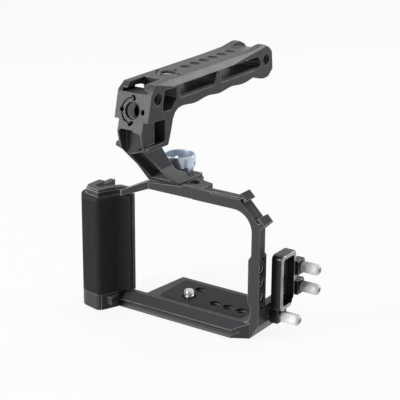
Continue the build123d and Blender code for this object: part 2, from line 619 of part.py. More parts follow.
side_face = Plane.YZ.offset(handle_left)
arm_tip = along_arm((FOOT_FRONT_Y - ARM_TIP_Y) / cos(radians(ARM_ANGLE)))
wave_points = [(y, wave(y)) for y in (WAVE_START + (WAVE_END - WAVE_START) * i / WAVE_STEPS
                                      for i in range(WAVE_STEPS + 1))]

with BuildPart() as handle_frame:
    with BuildSketch(side_face):
        with BuildLine():
            Spline(*wave_points)
            Polyline(
                wave_points[-1], *[(y, handle_low + rise) for y, rise in END_LOW],
                *[(y, handle_top + rise) for y, rise in END_HIGH],
                (HEAD_TOP_Y, handle_top), (HEAD_EDGE_Y, head_floor), (HEAD_CHIN_Y, head_chin_z),
                (HEAD_CHIN_Y + HEAD_DEPTH, head_chin_z - HEAD_RISE),
                (WINDOW_BACK_Y, head_chin_z - HEAD_RISE),
                (WINDOW_BACK_Y, arm_top_z + 2), (WINDOW_BACK_Y - 1.5, arm_top_z),
                (ARM_TIP_Y + 1, arm_top_z), (ARM_TIP_Y, arm_top_z - 1), side_point(arm_tip),
                (FOOT_FRONT_Y, PLATFORM_TOP), (FOOT_BACK_Y, PLATFORM_TOP),
                (FOOT_BACK_Y, foot_top), (ARM_BACK_Y, foot_top),
                *[(y, PLATFORM_TOP + rise) for y, rise in ARM_BACK], *over_arm(COLUMN_BACK),
                *[(y, handle_low + rise) for y, rise in PALM_START], wave_points[0])
        make_face()
    extrude(amount=HANDLE_WIDTH)
    # both flanks of the arm stand in, and spread again towards the foot
    for side in (-1, 1):
        edge_x = HANDLE_MID + side * HANDLE_WIDTH / 2
        with BuildSketch(Plane.XZ.offset(-COLUMN_FRONT[0][0] + 1)):
            with BuildLine():
                Polyline(
                    (edge_x + side, flank_low), (edge_x, flank_low),
                    (edge_x - side * flank_inset, flank_crease),
                    (edge_x - side * flank_inset, flank_top - flank_inset / 2),
                    (edge_x - side * flank_inset / 2, flank_top), (edge_x + side, flank_top),
                    close=True)
            make_face()
        extrude(amount=COLUMN_FRONT[0][0] - 1, mode=Mode.SUBTRACT)
    # narrow column between the head and the arm
    with BuildSketch(Plane.YZ.offset(HANDLE_MID - COLUMN_WIDTH / 2)):
        with BuildLine():
            Polyline(
                (HEAD_CHIN_Y, head_chin_z), *over_arm(COLUMN_FRONT), (ARM_TIP_Y + 1, column_foot_z),
                (COLUMN_BACK_Y, column_foot_z), (COLUMN_BACK_Y, head_chin_z), close=True)
        make_face()
    extrude(amount=COLUMN_WIDTH)
    # hollow in the front of the column, over a slanted lip
    with BuildSketch(Plane.XZ.offset(-HOLLOW_REACH_Y)):
        with BuildLine():
            Polyline((hollow_left, PLATFORM_TOP + HOLLOW_BOTTOM_LEFT),
                     (hollow_right, PLATFORM_TOP + HOLLOW_BOTTOM_RIGHT),
                     *[(HANDLE_MID + x, z) for x, z in over_arm(HOLLOW_TOP)], close=True)
        make_face()
    extrude(amount=-(COLUMN_FRONT[0][0] - HOLLOW_REACH_Y) + 1, mode=Mode.SUBTRACT)
    # relief pocket in the underside of the arm
    arm_plane = Plane(origin=(HANDLE_MID, FOOT_FRONT_Y, PLATFORM_TOP), x_dir=(1, 0, 0),
                      z_dir=arm_down)
    with BuildSketch(arm_plane):
        with BuildLine():
            Polyline(*ARM_POCKET, close=True)
        make_face()
    extrude(amount=-ARM_POCKET_DEPTH, mode=Mode.SUBTRACT)
    # clearance for the knob in front of the arm's back
    with BuildSketch(Plane.XY.offset(foot_top)):
        with Locations((HANDLE_MID, SCREW_Y)):
            Circle(CUP_R + CUP_RUN)
    extrude(amount=CUP_LIFT, mode=Mode.SUBTRACT)
    # screw hole and pin holes of the foot
    with BuildSketch(Plane.XY.offset(PLATFORM_TOP)):
        with Locations((HANDLE_MID, SCREW_Y)):
            Circle(THREE_EIGHTHS_R + 0.1)
        with Locations(*pin_places):
            Circle(PIN_R)
    extrude(amount=FOOT_THICK, mode=Mode.SUBTRACT)
    # long windows through the grip bar, and the window behind the head
    with BuildSketch(side_face):
        with BuildLine():
            Polyline((FRONT_SLOT[0], slot_low), (FRONT_SLOT[0], slot_top - 1),
                     (FRONT_SLOT[0] + 1, slot_top), (FRONT_SLOT[1] + SLOT_LEAN, slot_top),
                     (FRONT_SLOT[1], slot_low + SLOT_CORNER),
                     (FRONT_SLOT[1] - SLOT_CORNER, slot_low), close=True)
        make_face()
        with BuildLine():
            Polyline((BACK_SLOT[0], slot_low + SLOT_CORNER), (BACK_SLOT[0], slot_top),
                     (BACK_SLOT[1] - SLOT_LEAN, slot_top),
                     (BACK_SLOT[1] + SLOT_LEAN, slot_low + 2), (BACK_SLOT[1], slot_low),
                     (BACK_SLOT[0] + SLOT_CORNER, slot_low), close=True)
        make_face()
        with BuildLine():
            Polyline(*[(y, handle_top + rise) for y, rise in HEAD_WINDOW], close=True)
        make_face()
    extrude(amount=HANDLE_WIDTH, mode=Mode.SUBTRACT)
    # bevel under each long window, and the tapered chamfers of the top edges
    for side, stations in ((-1, CHAMFER_LEFT), (1, CHAMFER_RIGHT)):
        edge_x = HANDLE_MID + side * HANDLE_WIDTH / 2
        for slot_start, slot_end in (FRONT_SLOT, BACK_SLOT):
            with BuildSketch(Plane.XZ.offset(-slot_start - SLOT_CORNER)):
                with BuildLine():
                    Polyline((edge_x, slot_low - LIP_HEIGHT), (edge_x, slot_low + 1),
                             (edge_x - side * LIP_WIDTH, slot_low + 1),
                             (edge_x - side * LIP_WIDTH, slot_low), close=True)
                make_face()
            extrude(amount=slot_start - slot_end + 2 * SLOT_CORNER, mode=Mode.SUBTRACT)
        for near, far in zip(stations, stations[1:]):
            for y, share in (near, far):
                low = handle_top - EDGE_CHAMFER_H * share
                high = handle_top + 3
                lean = side * EDGE_CHAMFER_W / EDGE_CHAMFER_H
                with BuildSketch(Plane.XZ.offset(-y)):
                    with BuildLine():
                        Polyline((edge_x + side, low - side / lean),
                                 (edge_x - lean * (high - low), high), (edge_x + side, high),
                                 close=True)
                    make_face()
            loft(ruled=True, mode=Mode.SUBTRACT)
    # valley between the two ears at the end
    with BuildSketch(Plane.YZ.offset(HANDLE_MID - EAR_GAP / 2)):
        with BuildLine():
            Polyline(*[(y, handle_top + rise) for y, rise in EAR_VALLEY],
                     (EAR_VALLEY[-1][0], handle_top + 4), (EAR_VALLEY[0][0], handle_top + 4),
                     close=True)
        make_face()
    extrude(amount=EAR_GAP, mode=Mode.SUBTRACT)
    # cold shoe let into the head, open to the front
    with BuildSketch(Plane.XY.offset(head_floor)):
        with Locations((HANDLE_MID, HEAD_EDGE_Y - 2)):
            Rectangle(SHOE_SLOT, HEAD_SHOE_LENGTH + 2, align=(Align.CENTER, Align.MIN))
    extrude(amount=SHOE_SLOT_HEIGHT, mode=Mode.SUBTRACT)
    with BuildSketch(Plane.XY.offset(head_floor)):
        with Locations((HANDLE_MID, HEAD_EDGE_Y - 2)):
            Rectangle(SHOE_MOUTH, HEAD_SHOE_LENGTH + 2, align=(Align.CENTER, Align.MIN))
    extrude(amount=handle_top - head_floor, mode=Mode.SUBTRACT)
    # locating screw pattern on the top, and the row of threads
    with BuildSketch(Plane.XY.offset(handle_top)):
        with Locations((HANDLE_MID, TOP_SCREW_Y)):
            Circle(THREE_EIGHTHS_R)
        with Locations(*[(HANDLE_MID, TOP_THREAD_START + i * TOP_THREAD_PITCH)
                         for i in range(TOP_THREADS)]):
            Circle(QUARTER_R)
    extrude(amount=-(handle_top - (slot_low + slot_top) / 2), mode=Mode.SUBTRACT)
    with BuildSketch(Plane.XY.offset(handle_top)):
        with Locations((HANDLE_MID, TOP_SCREW_Y)):
            with PolarLocations(PIN_SPACING, 4):
                Circle(PIN_HOLE_R)
    extrude(amount=-PIN_HOLE_DEPTH, mode=Mode.SUBTRACT)
    # locating screw pattern on the front of the head
    with BuildSketch(head_plane):
        Circle(THREE_EIGHTHS_R)
    extrude(amount=-HEAD_SCREW_DEPTH, mode=Mode.SUBTRACT)
    with BuildSketch(head_plane):
        with PolarLocations(PIN_SPACING, 4):
            Circle(PIN_HOLE_R)
    extrude(amount=-PIN_HOLE_DEPTH, mode=Mode.SUBTRACT)
    with BuildSketch(head_plane):
        SlotArc(CenterArc((0, 0), PIN_SPACING, 90, 180), ARC_WIDTH)
    extrude(amount=-ARC_DEPTH, mode=Mode.SUBTRACT)
    # side threads at the head and the end
    with BuildSketch(Plane.YZ.offset(handle_right)):
        with Locations((HEAD_THREAD_Y, handle_top - HEAD_THREAD_DROP),
                       (END_THREAD_Y, handle_top - END_THREAD_DROP)):
            Circle(QUARTER_R)
    extrude(amount=-SIDE_THREAD_DEPTH, mode=Mode.SUBTRACT)
finish_part(handle_frame.part, "handle_frame")

# =========================================================================================
# Locating screw of the handle: a hollow anodised cup pressed on a steel screw
# =========================================================================================
washer_top = foot_top + WASHER_THICK
with BuildPart() as handle_pins:
    with BuildSketch(Plane.XY.offset(PLATFORM_TOP - PIN_REACH)):
        with Locations(*pin_places):
            Circle(PIN_R)
    extrude(amount=PIN_REACH + FOOT_THICK)
    chamfer(handle_pins.edges().group_by(Axis.Z)[0], 0.4)
finish_part(handle_pins.part, "handle_pins")

with BuildPart() as knob_washer:
    with BuildSketch(Plane.XY.offset(foot_top)):
        with Locations((HANDLE_MID, SCREW_Y)):
            Circle(CUP_BASE_R)
            Circle(THREE_EIGHTHS_R + SCREW_FIT, mode=Mode.SUBTRACT)
    extrude(amount=WASHER_THICK)
finish_part(knob_washer.part, "knob_washer")

knob_axis = Plane(origin=(HANDLE_MID, SCREW_Y, 0), x_dir=(1, 0, 0), z_dir=(0, -1, 0))
cup_low = washer_top + RUN_GAP
cup_floor = cup_low + CUP_FLOOR
cup_rim = foot_top + CUP_HEIGHT
with BuildPart() as knob_cup:
    with BuildSketch(knob_axis):
        with BuildLine():
            Polyline(
                (CUP_BORE_R, cup_low), (CUP_BASE_R - 0.6, cup_low), (CUP_BASE_R, cup_low + 0.6),
                (CUP_R, cup_low + CUP_FLARE), (CUP_R, cup_rim - 0.4), (CUP_R - 0.4, cup_rim),
                (CUP_R - CUP_WALL, cup_rim), (CUP_R - CUP_WALL - 0.2, cup_low + CUP_FLARE),
                (CUP_BASE_R - CUP_WALL - 0.4, cup_floor), (CUP_BORE_R, cup_floor), close=True)
        make_face()
    revolve(axis=Axis((HANDLE_MID, SCREW_Y, 0), (0, 0, 1)))
    for number in range(CUP_HOLES):
        turn = radians(CUP_TURN) + 2 * pi * number / CUP_HOLES
        spoke = Plane(origin=(HANDLE_MID, SCREW_Y, cup_low + CUP_HOLE_HEIGHT),
                      z_dir=(cos(turn), sin(turn), 0))
        with BuildSketch(spoke):
            Circle(CUP_HOLE_R)
        extrude(amount=CUP_R + 1, mode=Mode.SUBTRACT)
finish_part(knob_cup.part, "knob_cup")

with BuildPart() as knob_screw:
    with BuildSketch(knob_axis):
        with BuildLine():
            Polyline(
                (0, SCREW_TIP_Z), (THREE_EIGHTHS_R - SCREW_FIT - 0.8, SCREW_TIP_Z),
                (THREE_EIGHTHS_R - SCREW_FIT, SCREW_TIP_Z + 0.8),
                (THREE_EIGHTHS_R - SCREW_FIT, washer_top), (CUP_BORE_R, washer_top + RUN_GAP),
                (CUP_BORE_R, cup_floor), (SCREW_HEAD_R, cup_floor), (SCREW_HEAD_R, cup_floor + 2.0),
                (SCREW_HEAD_R - 0.5, cup_floor + 2.5), (0, cup_floor + 2.5), close=True)
        make_face()
    revolve(axis=Axis((HANDLE_MID, SCREW_Y, 0), (0, 0, 1)))
    with BuildSketch(Plane.XY.offset(cup_floor + 2.5)):
        with Locations((HANDLE_MID, SCREW_Y)):
            Rectangle(2 * SCREW_HEAD_R + 1, 1.4, rotation=35)
    extrude(amount=-1.4, mode=Mode.SUBTRACT)
finish_part(knob_screw.part, "knob_screw")

# =========================================================================================
# Camera screw, its washer and the rubber pad of the base
# =========================================================================================
camera_axis = Axis((0, CAMERA_SCREW_Y, 0), (0, 0, 1))
head_top = CAMERA_POCKET_DEPTH - WASHER_THICK - RUN_GAP
with BuildPart() as camera_screw:
    with BuildSketch(Plane(origin=(0, CAMERA_SCREW_Y, 0), x_dir=(1, 0, 0), z_dir=(0, -1, 0))):
        with BuildLine():
            Polyline(
                (0, head_top - CAMERA_HEAD_THICK), (CAMERA_HEAD_R - 0.5, head_top - CAMERA_HEAD_THICK),
                (CAMERA_HEAD_R, head_top - CAMERA_HEAD_THICK + 0.5), (CAMERA_HEAD_R, head_top),
                (CAMERA_SHANK_R, head_top), (CAMERA_SHANK_R, BASE_TOP + CAMERA_NECK),
                (QUARTER_R - SCREW_FIT, BASE_TOP + CAMERA_NECK),
                (QUARTER_R - SCREW_FIT, BASE_TOP + CAMERA_SCREW_REACH - 0.7),
                (QUARTER_R - SCREW_FIT - 0.7, BASE_TOP + CAMERA_SCREW_REACH),
                (0, BASE_TOP + CAMERA_SCREW_REACH), close=True)
        make_face()
    revolve(axis=camera_axis)
    with BuildSketch(Plane.XY.offset(head_top - CAMERA_HEAD_THICK)):
        with Locations((0, CAMERA_SCREW_Y)):
            Rectangle(2 * CAMERA_HEAD_R + 1, 1.6)
    extrude(amount=1.2, mode=Mode.SUBTRACT)
finish_part(camera_screw.part, "camera_screw")

with BuildPart() as camera_screw_washer:
    with BuildSketch(Plane.XY.offset(CAMERA_POCKET_DEPTH - WASHER_THICK)):
        with Locations((0, CAMERA_SCREW_Y)):
            Circle(CAMERA_HEAD_R - 0.6)
            Circle(QUARTER_R + SCREW_FIT, mode=Mode.SUBTRACT)
    extrude(amount=WASHER_THICK)
finish_part(camera_screw_washer.part, "camera_screw_washer")

with BuildPart() as base_pad:
    with BuildSketch(Plane.XY.offset(BASE_TOP - PAD_SUNK)):
        with Locations((PAD_X, PAD_Y)):
            RectangleRounded(PAD_LENGTH, PAD_WIDTH, 3)
        with Locations((0, CAMERA_SCREW_Y)):
            Circle(QUARTER_R + 1.5, mode=Mode.SUBTRACT)
        with Locations(*base_threads):
            Circle(QUARTER_R + 0.5, mode=Mode.SUBTRACT)
    extrude(amount=PAD_THICK)
finish_part(base_pad.part, "base_pad")

# =========================================================================================
# Screws that hold the grip frame: two under the platform, two under its foot
# =========================================================================================
with BuildPart() as grip_lap_screws:
    for x, y in lap_screws:
        with BuildSketch(Plane(origin=(x, y, 0), x_dir=(1, 0, 0), z_dir=(0, -1, 0))):
            with BuildLine():
                Polyline(
                    (0, PLATFORM_LOW - SMALL_HEAD_THICK),
                    (SMALL_HEAD_R - 0.4, PLATFORM_LOW - SMALL_HEAD_THICK),
                    (SMALL_HEAD_R, PLATFORM_LOW - 0.6), (SMALL_HEAD_R, PLATFORM_LOW),
                    (SMALL_SCREW_R, PLATFORM_LOW), (SMALL_SCREW_R, PLATFORM_TOP - 1.0),
                    (0, PLATFORM_TOP - 1.0), close=True)
            make_face()
        revolve(axis=Axis((x, y, 0), (0, 0, 1)))
finish_part(grip_lap_screws.part, "grip_lap_screws")

with BuildPart() as grip_foot_screws:
    for x, y in foot_screws:
        with BuildSketch(Plane(origin=(x, y, 0), x_dir=(1, 0, 0), z_dir=(0, -1, 0))):
            with BuildLine():
                Polyline(
                    (0, 0.15), (SMALL_HEAD_R, 0.15), (SMALL_SCREW_R, 0.15 + SMALL_HEAD_R - SMALL_SCREW_R),
                    (SMALL_SCREW_R, TONGUE_THICK + SHELF_THICK - 1.0),
                    (0, TONGUE_THICK + SHELF_THICK - 1.0), close=True)
            make_face()
        revolve(axis=Axis((x, y, 0), (0, 0, 1)))
finish_part(grip_foot_screws.part, "grip_foot_screws")

# =========================================================================================
# Plug clamp: a windowed block on a foot, with two jaws drawn in by thumbscrews
# =========================================================================================
with BuildPart() as clamp_body:
    with BuildSketch(Plane.YZ.offset(clamp_inner)):
        with BuildLine():
            clamp_outline = FilletPolyline(
                (CLAMP_FRONT, CLAMP_LOW), (CLAMP_BACK - 5, CLAMP_LOW),
                (CLAMP_BACK, CLAMP_LOW + 8.5), (CLAMP_BACK, CLAMP_TOP), (CLAMP_FRONT, CLAMP_TOP),
                radius=3.0, close=True)
        make_face()
    extrude(amount=clamp_outer - clamp_inner)
    chamfer(clamp_body.faces().sort_by(Axis.X)[-1].edges(), 0.7)
    # the window narrows to two plug openings in a thin inner plate
    window_low, window_high = CLAMP_LOW + CLAMP_WALL, CLAMP_TOP - CLAMP_WALL
    with BuildSketch(Plane.YZ.offset(clamp_outer)):
        with Locations(((CLAMP_FRONT + CLAMP_BACK) / 2, (window_low + window_high) / 2)):
            RectangleRounded(CLAMP_BACK - CLAMP_FRONT - 2 * CLAMP_WALL, window_high - window_low,
                             1.8)
    extrude(amount=-(clamp_outer - clamp_inner - CLAMP_PLATE), mode=Mode.SUBTRACT)
    with BuildSketch(Plane.YZ.offset(clamp_inner)):
        with Locations(*[((CLAMP_FRONT + CLAMP_BACK) / 2, z) for z in JAW_LEVELS]):
            RectangleRounded(PLUG_DEPTH, PLUG_HEIGHT, 1.2)
    extrude(amount=CLAMP_PLATE, mode=Mode.SUBTRACT)
    # foot
    with BuildSketch(Plane.YZ.offset(post_outer)):
        with BuildLine():
            Polyline((FOOT_FRONT, FOOT_LOW), (FOOT_REAR, FOOT_LOW), (FOOT_REAR, CLAMP_LOW + 1.5),
                     (FOOT_REAR, LUG_TOP), (FOOT_FRONT, LUG_TOP), close=True)
        make_face()
    extrude(amount=clamp_inner - post_outer)
    with BuildSketch(Plane.YZ.offset(post_outer)):
        with BuildLine():
            Polyline((FOOT_FRONT, FOOT_LOW), (FOOT_REAR, FOOT_LOW), (FOOT_REAR, CLAMP_LOW + 1.5),
                     (FOOT_FRONT, CLAMP_LOW + 1.5), close=True)
        make_face()
    extrude(amount=clamp_foot_outer - post_outer)
    # one lug behind the window for each jaw screw
    for level in JAW_LEVELS:
        with BuildSketch(Plane.YZ.offset(clamp_inner)):
            with Locations((CLAMP_BACK - 1, level)):
                Rectangle(JAW_BACK - 0.6 - CLAMP_BACK + 1, JAW_HEIGHT,
                          align=(Align.MIN, Align.CENTER))
        extrude(amount=JAW_LUG)
    with BuildSketch(Plane.YZ.offset(clamp_inner)):
        with Locations(*[(JAW_SCREW_Y, z) for z in JAW_LEVELS]):
            Circle(M4_R + SCREW_FIT)
    extrude(amount=JAW_LUG, mode=Mode.SUBTRACT)
    with BuildSketch(Plane.YZ.offset(post_outer)):
        with Locations((FIX_SCREW_Y, FIX_SCREW_Z)):
            Circle(M4_R + 0.2)
        with Locations(*clamp_pin_places):
            Circle(CLAMP_PIN_R)
    extrude(amount=clamp_foot_outer - post_outer - 1.5, mode=Mode.SUBTRACT)
    with BuildSketch(Plane.YZ.offset(post_outer)):
        with Locations((FIX_SCREW_Y, FIX_SCREW_Z)):
            Circle(M4_R + 0.2)
    extrude(amount=clamp_foot_outer - post_outer, mode=Mode.SUBTRACT)
finish_part(clamp_body.part, "clamp_body")

with BuildPart() as clamp_pins:
    with BuildSketch(Plane.YZ.offset(post_outer - 2.5)):
        with Locations(*clamp_pin_places):
            Circle(CLAMP_PIN_R)
    extrude(amount=2.5 + 3.5)
finish_part(clamp_pins.part, "clamp_pins")

jaw_inner_x = clamp_inner + JAW_LUG + JAW_GAP
for level, name in zip(JAW_LEVELS, ("jaw_upper", "jaw_lower")):
    with BuildPart() as jaw:
        with BuildSketch(Plane.XY.offset(level - JAW_HEIGHT / 2)):
            with BuildLine():
                Polyline(
                    (jaw_inner_x, CLAMP_BACK + JAW_GAP), (clamp_outer + JAW_GAP, CLAMP_BACK + JAW_GAP),
                    (clamp_outer + JAW_GAP, CLAMP_BACK - JAW_LAP), (jaw_outer, CLAMP_BACK - JAW_LAP),
                    (jaw_outer, JAW_BACK - 1), (jaw_outer - 1, JAW_BACK), (jaw_inner_x, JAW_BACK),
                    close=True)
            make_face()
        extrude(amount=JAW_HEIGHT)
        with BuildSketch(Plane.YZ.offset(jaw_inner_x)):
            with Locations((JAW_SCREW_Y, level)):
                Circle(M4_R + SCREW_FIT)
        extrude(amount=jaw_outer - jaw_inner_x, mode=Mode.SUBTRACT)
    finish_part(jaw.part, name)

# =========================================================================================
# Thumbscrews: a fluted head with a domed, slotted end on an M4 shank
# =========================================================================================
thumbscrews = (
    ("jaw_screw_upper", jaw_outer + RUN_GAP, JAW_SCREW_Y, JAW_LEVELS[0], clamp_inner + 0.4),
    ("jaw_screw_lower", jaw_outer + RUN_GAP, JAW_SCREW_Y, JAW_LEVELS[1], clamp_inner + 0.4),
    ("clamp_screw", clamp_foot_outer + WASHER_THICK + RUN_GAP, FIX_SCREW_Y, FIX_SCREW_Z,
     POST_INNER + 1.0),
)
for name, head_x, screw_y, screw_z, tip_x in thumbscrews:
    with BuildPart() as thumbscrew:
        with BuildSketch(Plane(origin=(0, screw_y, screw_z), x_dir=(1, 0, 0), z_dir=(0, 0, 1))):
            with BuildLine():
                Polyline(
                    (tip_x, 0), (tip_x, M4_R - 0.5), (tip_x + 0.5, M4_R), (head_x, M4_R),
                    (head_x, KNOB_R - 0.8), (head_x + 0.8, KNOB_R),
                    (head_x + KNOB_LENGTH - 1.6, KNOB_R))
                RadiusArc((head_x + KNOB_LENGTH - 1.6, KNOB_R), (head_x + KNOB_LENGTH, KNOB_R - 1.6),
                          1.6)
                Polyline((head_x + KNOB_LENGTH, KNOB_R - 1.6), (head_x + KNOB_LENGTH, 0), (tip_x, 0))
            make_face()
        revolve(axis=Axis((0, screw_y, screw_z), (1, 0, 0)))
        with BuildSketch(Plane.YZ.offset(head_x + KNOB_LENGTH)):
            with Locations((screw_y, screw_z)):
                RegularPolygon(1.5, 6)
        extrude(amount=-3, mode=Mode.SUBTRACT)
    finish_part(thumbscrew.part, name)

with BuildPart() as clamp_washer:
    with BuildSketch(Plane.YZ.offset(clamp_foot_outer)):
        with Locations((FIX_SCREW_Y, FIX_SCREW_Z)):
            Circle(KNOB_R)
            Circle(M4_R + SCREW_FIT, mode=Mode.SUBTRACT)
    extrude(amount=WASHER_THICK)
finish_part(clamp_washer.part, "clamp_washer")
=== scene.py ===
"""Camera cage with side grip, top handle and plug clamp, dressed and lit on a pale floor."""
import json
import math
import bmesh
import bpy
from mathutils import Matrix, Vector


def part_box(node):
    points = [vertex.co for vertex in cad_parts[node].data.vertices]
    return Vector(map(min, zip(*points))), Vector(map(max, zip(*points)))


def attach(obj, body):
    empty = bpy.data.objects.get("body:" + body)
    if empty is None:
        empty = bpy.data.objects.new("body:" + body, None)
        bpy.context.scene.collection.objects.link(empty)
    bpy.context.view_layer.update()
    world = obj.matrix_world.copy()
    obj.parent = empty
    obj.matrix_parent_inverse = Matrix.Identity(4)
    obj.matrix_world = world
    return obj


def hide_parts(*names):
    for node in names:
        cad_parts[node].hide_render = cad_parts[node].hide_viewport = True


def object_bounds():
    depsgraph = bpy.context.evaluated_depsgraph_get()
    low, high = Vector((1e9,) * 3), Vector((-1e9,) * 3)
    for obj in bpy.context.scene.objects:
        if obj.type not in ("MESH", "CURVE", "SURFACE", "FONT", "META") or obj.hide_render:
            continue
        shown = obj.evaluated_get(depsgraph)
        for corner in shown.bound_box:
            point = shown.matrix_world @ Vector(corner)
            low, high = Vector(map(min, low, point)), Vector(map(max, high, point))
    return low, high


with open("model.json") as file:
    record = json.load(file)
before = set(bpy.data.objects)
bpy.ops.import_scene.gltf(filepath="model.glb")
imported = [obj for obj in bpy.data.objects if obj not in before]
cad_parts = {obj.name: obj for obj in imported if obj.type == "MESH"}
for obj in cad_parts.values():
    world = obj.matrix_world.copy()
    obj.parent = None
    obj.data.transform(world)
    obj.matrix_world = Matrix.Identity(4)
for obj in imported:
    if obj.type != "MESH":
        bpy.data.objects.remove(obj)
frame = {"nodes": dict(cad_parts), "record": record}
cad_box = [list(corner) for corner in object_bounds()]


# =========================================================================================
# Studio: a pale floor, a low soft box in front to the left, a wide one overhead, a small one
# behind to the right, and a long-lens camera a little above the part
# =========================================================================================
CAMERA_PLACE = Vector((0.453394, -0.673445, 0.357847))
TURN, TILT, ROLL = math.radians(34.0), math.radians(19.4), math.radians(0.38)
LENS_MM, SENSOR_MM = 122.4, 36.0

ahead = Vector((-math.sin(TURN) * math.cos(TILT), math.cos(TURN) * math.cos(TILT),
                -math.sin(TILT)))
level = Vector((math.cos(TURN), math.sin(TURN), 0.0))
above = level.cross(ahead)
right = math.cos(ROLL) * level + math.sin(ROLL) * above
above = -math.sin(ROLL) * level + math.cos(ROLL) * above
camera_data = bpy.data.cameras.new("studio_camera")
camera_data.lens = LENS_MM
camera_data.sensor_width = SENSOR_MM
camera = bpy.data.objects.new("studio_camera", camera_data)
camera_turn = Matrix((right, above, -ahead)).transposed().to_4x4()
camera.matrix_world = Matrix.Translation(CAMERA_PLACE) @ camera_turn
bpy.context.scene.collection.objects.link(camera)
bpy.context.scene.camera = camera
bpy.context.scene.view_settings.view_transform = "Standard"

# name, place, size, watts
SOFT_BOXES = (
    ("key_box", (-0.75, -1.35, 0.55), (0.7, 0.8), 34.0),
    ("top_box", (-0.1, 0.45, 1.45), (1.1, 0.8), 11.0),
    ("back_strip", (0.79, 1.03, 0.30), (0.42, 0.22), 10.0),
)
AIM = Vector((0.0, 0.0, 0.08))
for box_name, place, size, watts in SOFT_BOXES:
    light = bpy.data.lights.new(box_name, "AREA")
    light.shape = "RECTANGLE"
    light.size, light.size_y = size
    light.energy = watts
    lamp = bpy.data.objects.new(box_name, light)
    lamp.location = place
    lamp.rotation_euler = (AIM - Vector(place)).to_track_quat("-Z", "Y").to_euler()
    bpy.context.scene.collection.objects.link(lamp)

WHITE = (1, 1, 1, 1)
WORLD_FILL = 0.07


def join_rays(tree):
    """1 for rays that the camera, a gloss or a glass sends out, 0 for rays that light things."""
    path = tree.nodes.new("ShaderNodeLightPath")
    total = path.outputs["Is Camera Ray"]
    for kind in ("Is Glossy Ray", "Is Transmission Ray"):
        larger = tree.nodes.new("ShaderNodeMath")
        larger.operation = "MAXIMUM"
        tree.links.new(total, larger.inputs[0])
        tree.links.new(path.outputs[kind], larger.inputs[1])
        total = larger.outputs[0]
    return total


world = bpy.data.worlds.new("white_studio")
bpy.context.scene.world = world
world.use_nodes = True
tree = world.node_tree
tree.nodes.clear()
output = tree.nodes.new("ShaderNodeOutputWorld")
seen = tree.nodes.new("ShaderNodeBackground")
fill = tree.nodes.new("ShaderNodeBackground")
seen.inputs["Color"].default_value = WHITE
fill.inputs["Color"].default_value = WHITE
fill.inputs["Strength"].default_value = WORLD_FILL
background_ray = join_rays(tree)
choice = tree.nodes.new("ShaderNodeMixShader")
tree.links.new(background_ray, choice.inputs["Fac"])
tree.links.new(fill.outputs[0], choice.inputs[1])
tree.links.new(seen.outputs[0], choice.inputs[2])
tree.links.new(choice.outputs[0], output.inputs["Surface"])

FLOOR_SIZE = 6.0
FLOOR_DROP = 0.0004          # the floor lies just under the part, so that nothing is coplanar
FLOOR_GLOW = 0.90            # share of plain white in what the camera sees of the floor
FLOOR_PAINT = (0.8, 0.8, 0.8, 1)
floor_mesh = bpy.data.meshes.new("floor")
half = FLOOR_SIZE / 2
floor_mesh.from_pydata([(-half, -half, 0), (half, -half, 0), (half, half, 0), (-half, half, 0)],
                       [], [(0, 1, 2, 3)])
floor = bpy.data.objects.new("floor", floor_mesh)
floor.location.z = cad_box[0][2] - FLOOR_DROP
bpy.context.scene.collection.objects.link(floor)
floor_paint = bpy.data.materials.new("floor_paint")
floor_paint.use_nodes = True
tree = floor_paint.node_tree
tree.nodes.clear()
output = tree.nodes.new("ShaderNodeOutputMaterial")
matte = tree.nodes.new("ShaderNodeBsdfDiffuse")
matte.inputs["Color"].default_value = FLOOR_PAINT
glow = tree.nodes.new("ShaderNodeEmission")
glow.inputs["Strength"].default_value = 1.0
share = tree.nodes.new("ShaderNodeMath")
share.operation = "MULTIPLY"
share.inputs[1].default_value = FLOOR_GLOW
tree.links.new(join_rays(tree), share.inputs[0])
mix = tree.nodes.new("ShaderNodeMixShader")
tree.links.new(share.outputs[0], mix.inputs["Fac"])
tree.links.new(matte.outputs[0], mix.inputs[1])
tree.links.new(glow.outputs[0], mix.inputs[2])
tree.links.new(mix.outputs[0], output.inputs["Surface"])
floor_mesh.materials.append(floor_paint)


# =========================================================================================
# Milled aluminium parts: the cage, the grip's frame and the handle. They are bead-blasted
# and anodised black, and every corner is broken on the machine, so it catches the light. The
# corners are painted paler than the flats in patches: partly wear, partly painted highlight.
# =========================================================================================
nodes = frame["nodes"]
MM = 0.001                   # the pieces' sizes are in millimetres, the scene is in metres
BEVEL_SAMPLES = 6
FLAT_AGREEMENT, CORNER_AGREEMENT = 0.995, 0.80    # of the softened normal with the plain one


def broken_edges_group():
    """Softened normal at the corners, and a mask that is 1 where a corner is."""
    group = bpy.data.node_groups.new("broken_edges", "ShaderNodeTree")
    group.interface.new_socket("Corner radius", in_out="INPUT", socket_type="NodeSocketFloat")
    group.interface.new_socket("Normal", in_out="OUTPUT", socket_type="NodeSocketVector")
    group.interface.new_socket("Corner", in_out="OUTPUT", socket_type="NodeSocketFloat")
    n, link = group.nodes, group.links
    inside = n.new("NodeGroupInput")
    outside = n.new("NodeGroupOutput")
    bevel = n.new("ShaderNodeBevel")
    bevel.samples = BEVEL_SAMPLES
    plain = n.new("ShaderNodeNewGeometry")
    agree = n.new("ShaderNodeVectorMath")
    agree.operation = "DOT_PRODUCT"
    ramp = n.new("ShaderNodeMapRange")
    ramp.inputs["From Min"].default_value = FLAT_AGREEMENT
    ramp.inputs["From Max"].default_value = CORNER_AGREEMENT
    link.new(inside.outputs["Corner radius"], bevel.inputs["Radius"])
    link.new(bevel.outputs["Normal"], agree.inputs[0])
    link.new(plain.outputs["Normal"], agree.inputs[1])
    link.new(agree.outputs["Value"], ramp.inputs["Value"])
    link.new(bevel.outputs["Normal"], outside.inputs["Normal"])
    link.new(ramp.outputs["Result"], outside.inputs["Corner"])
    return group


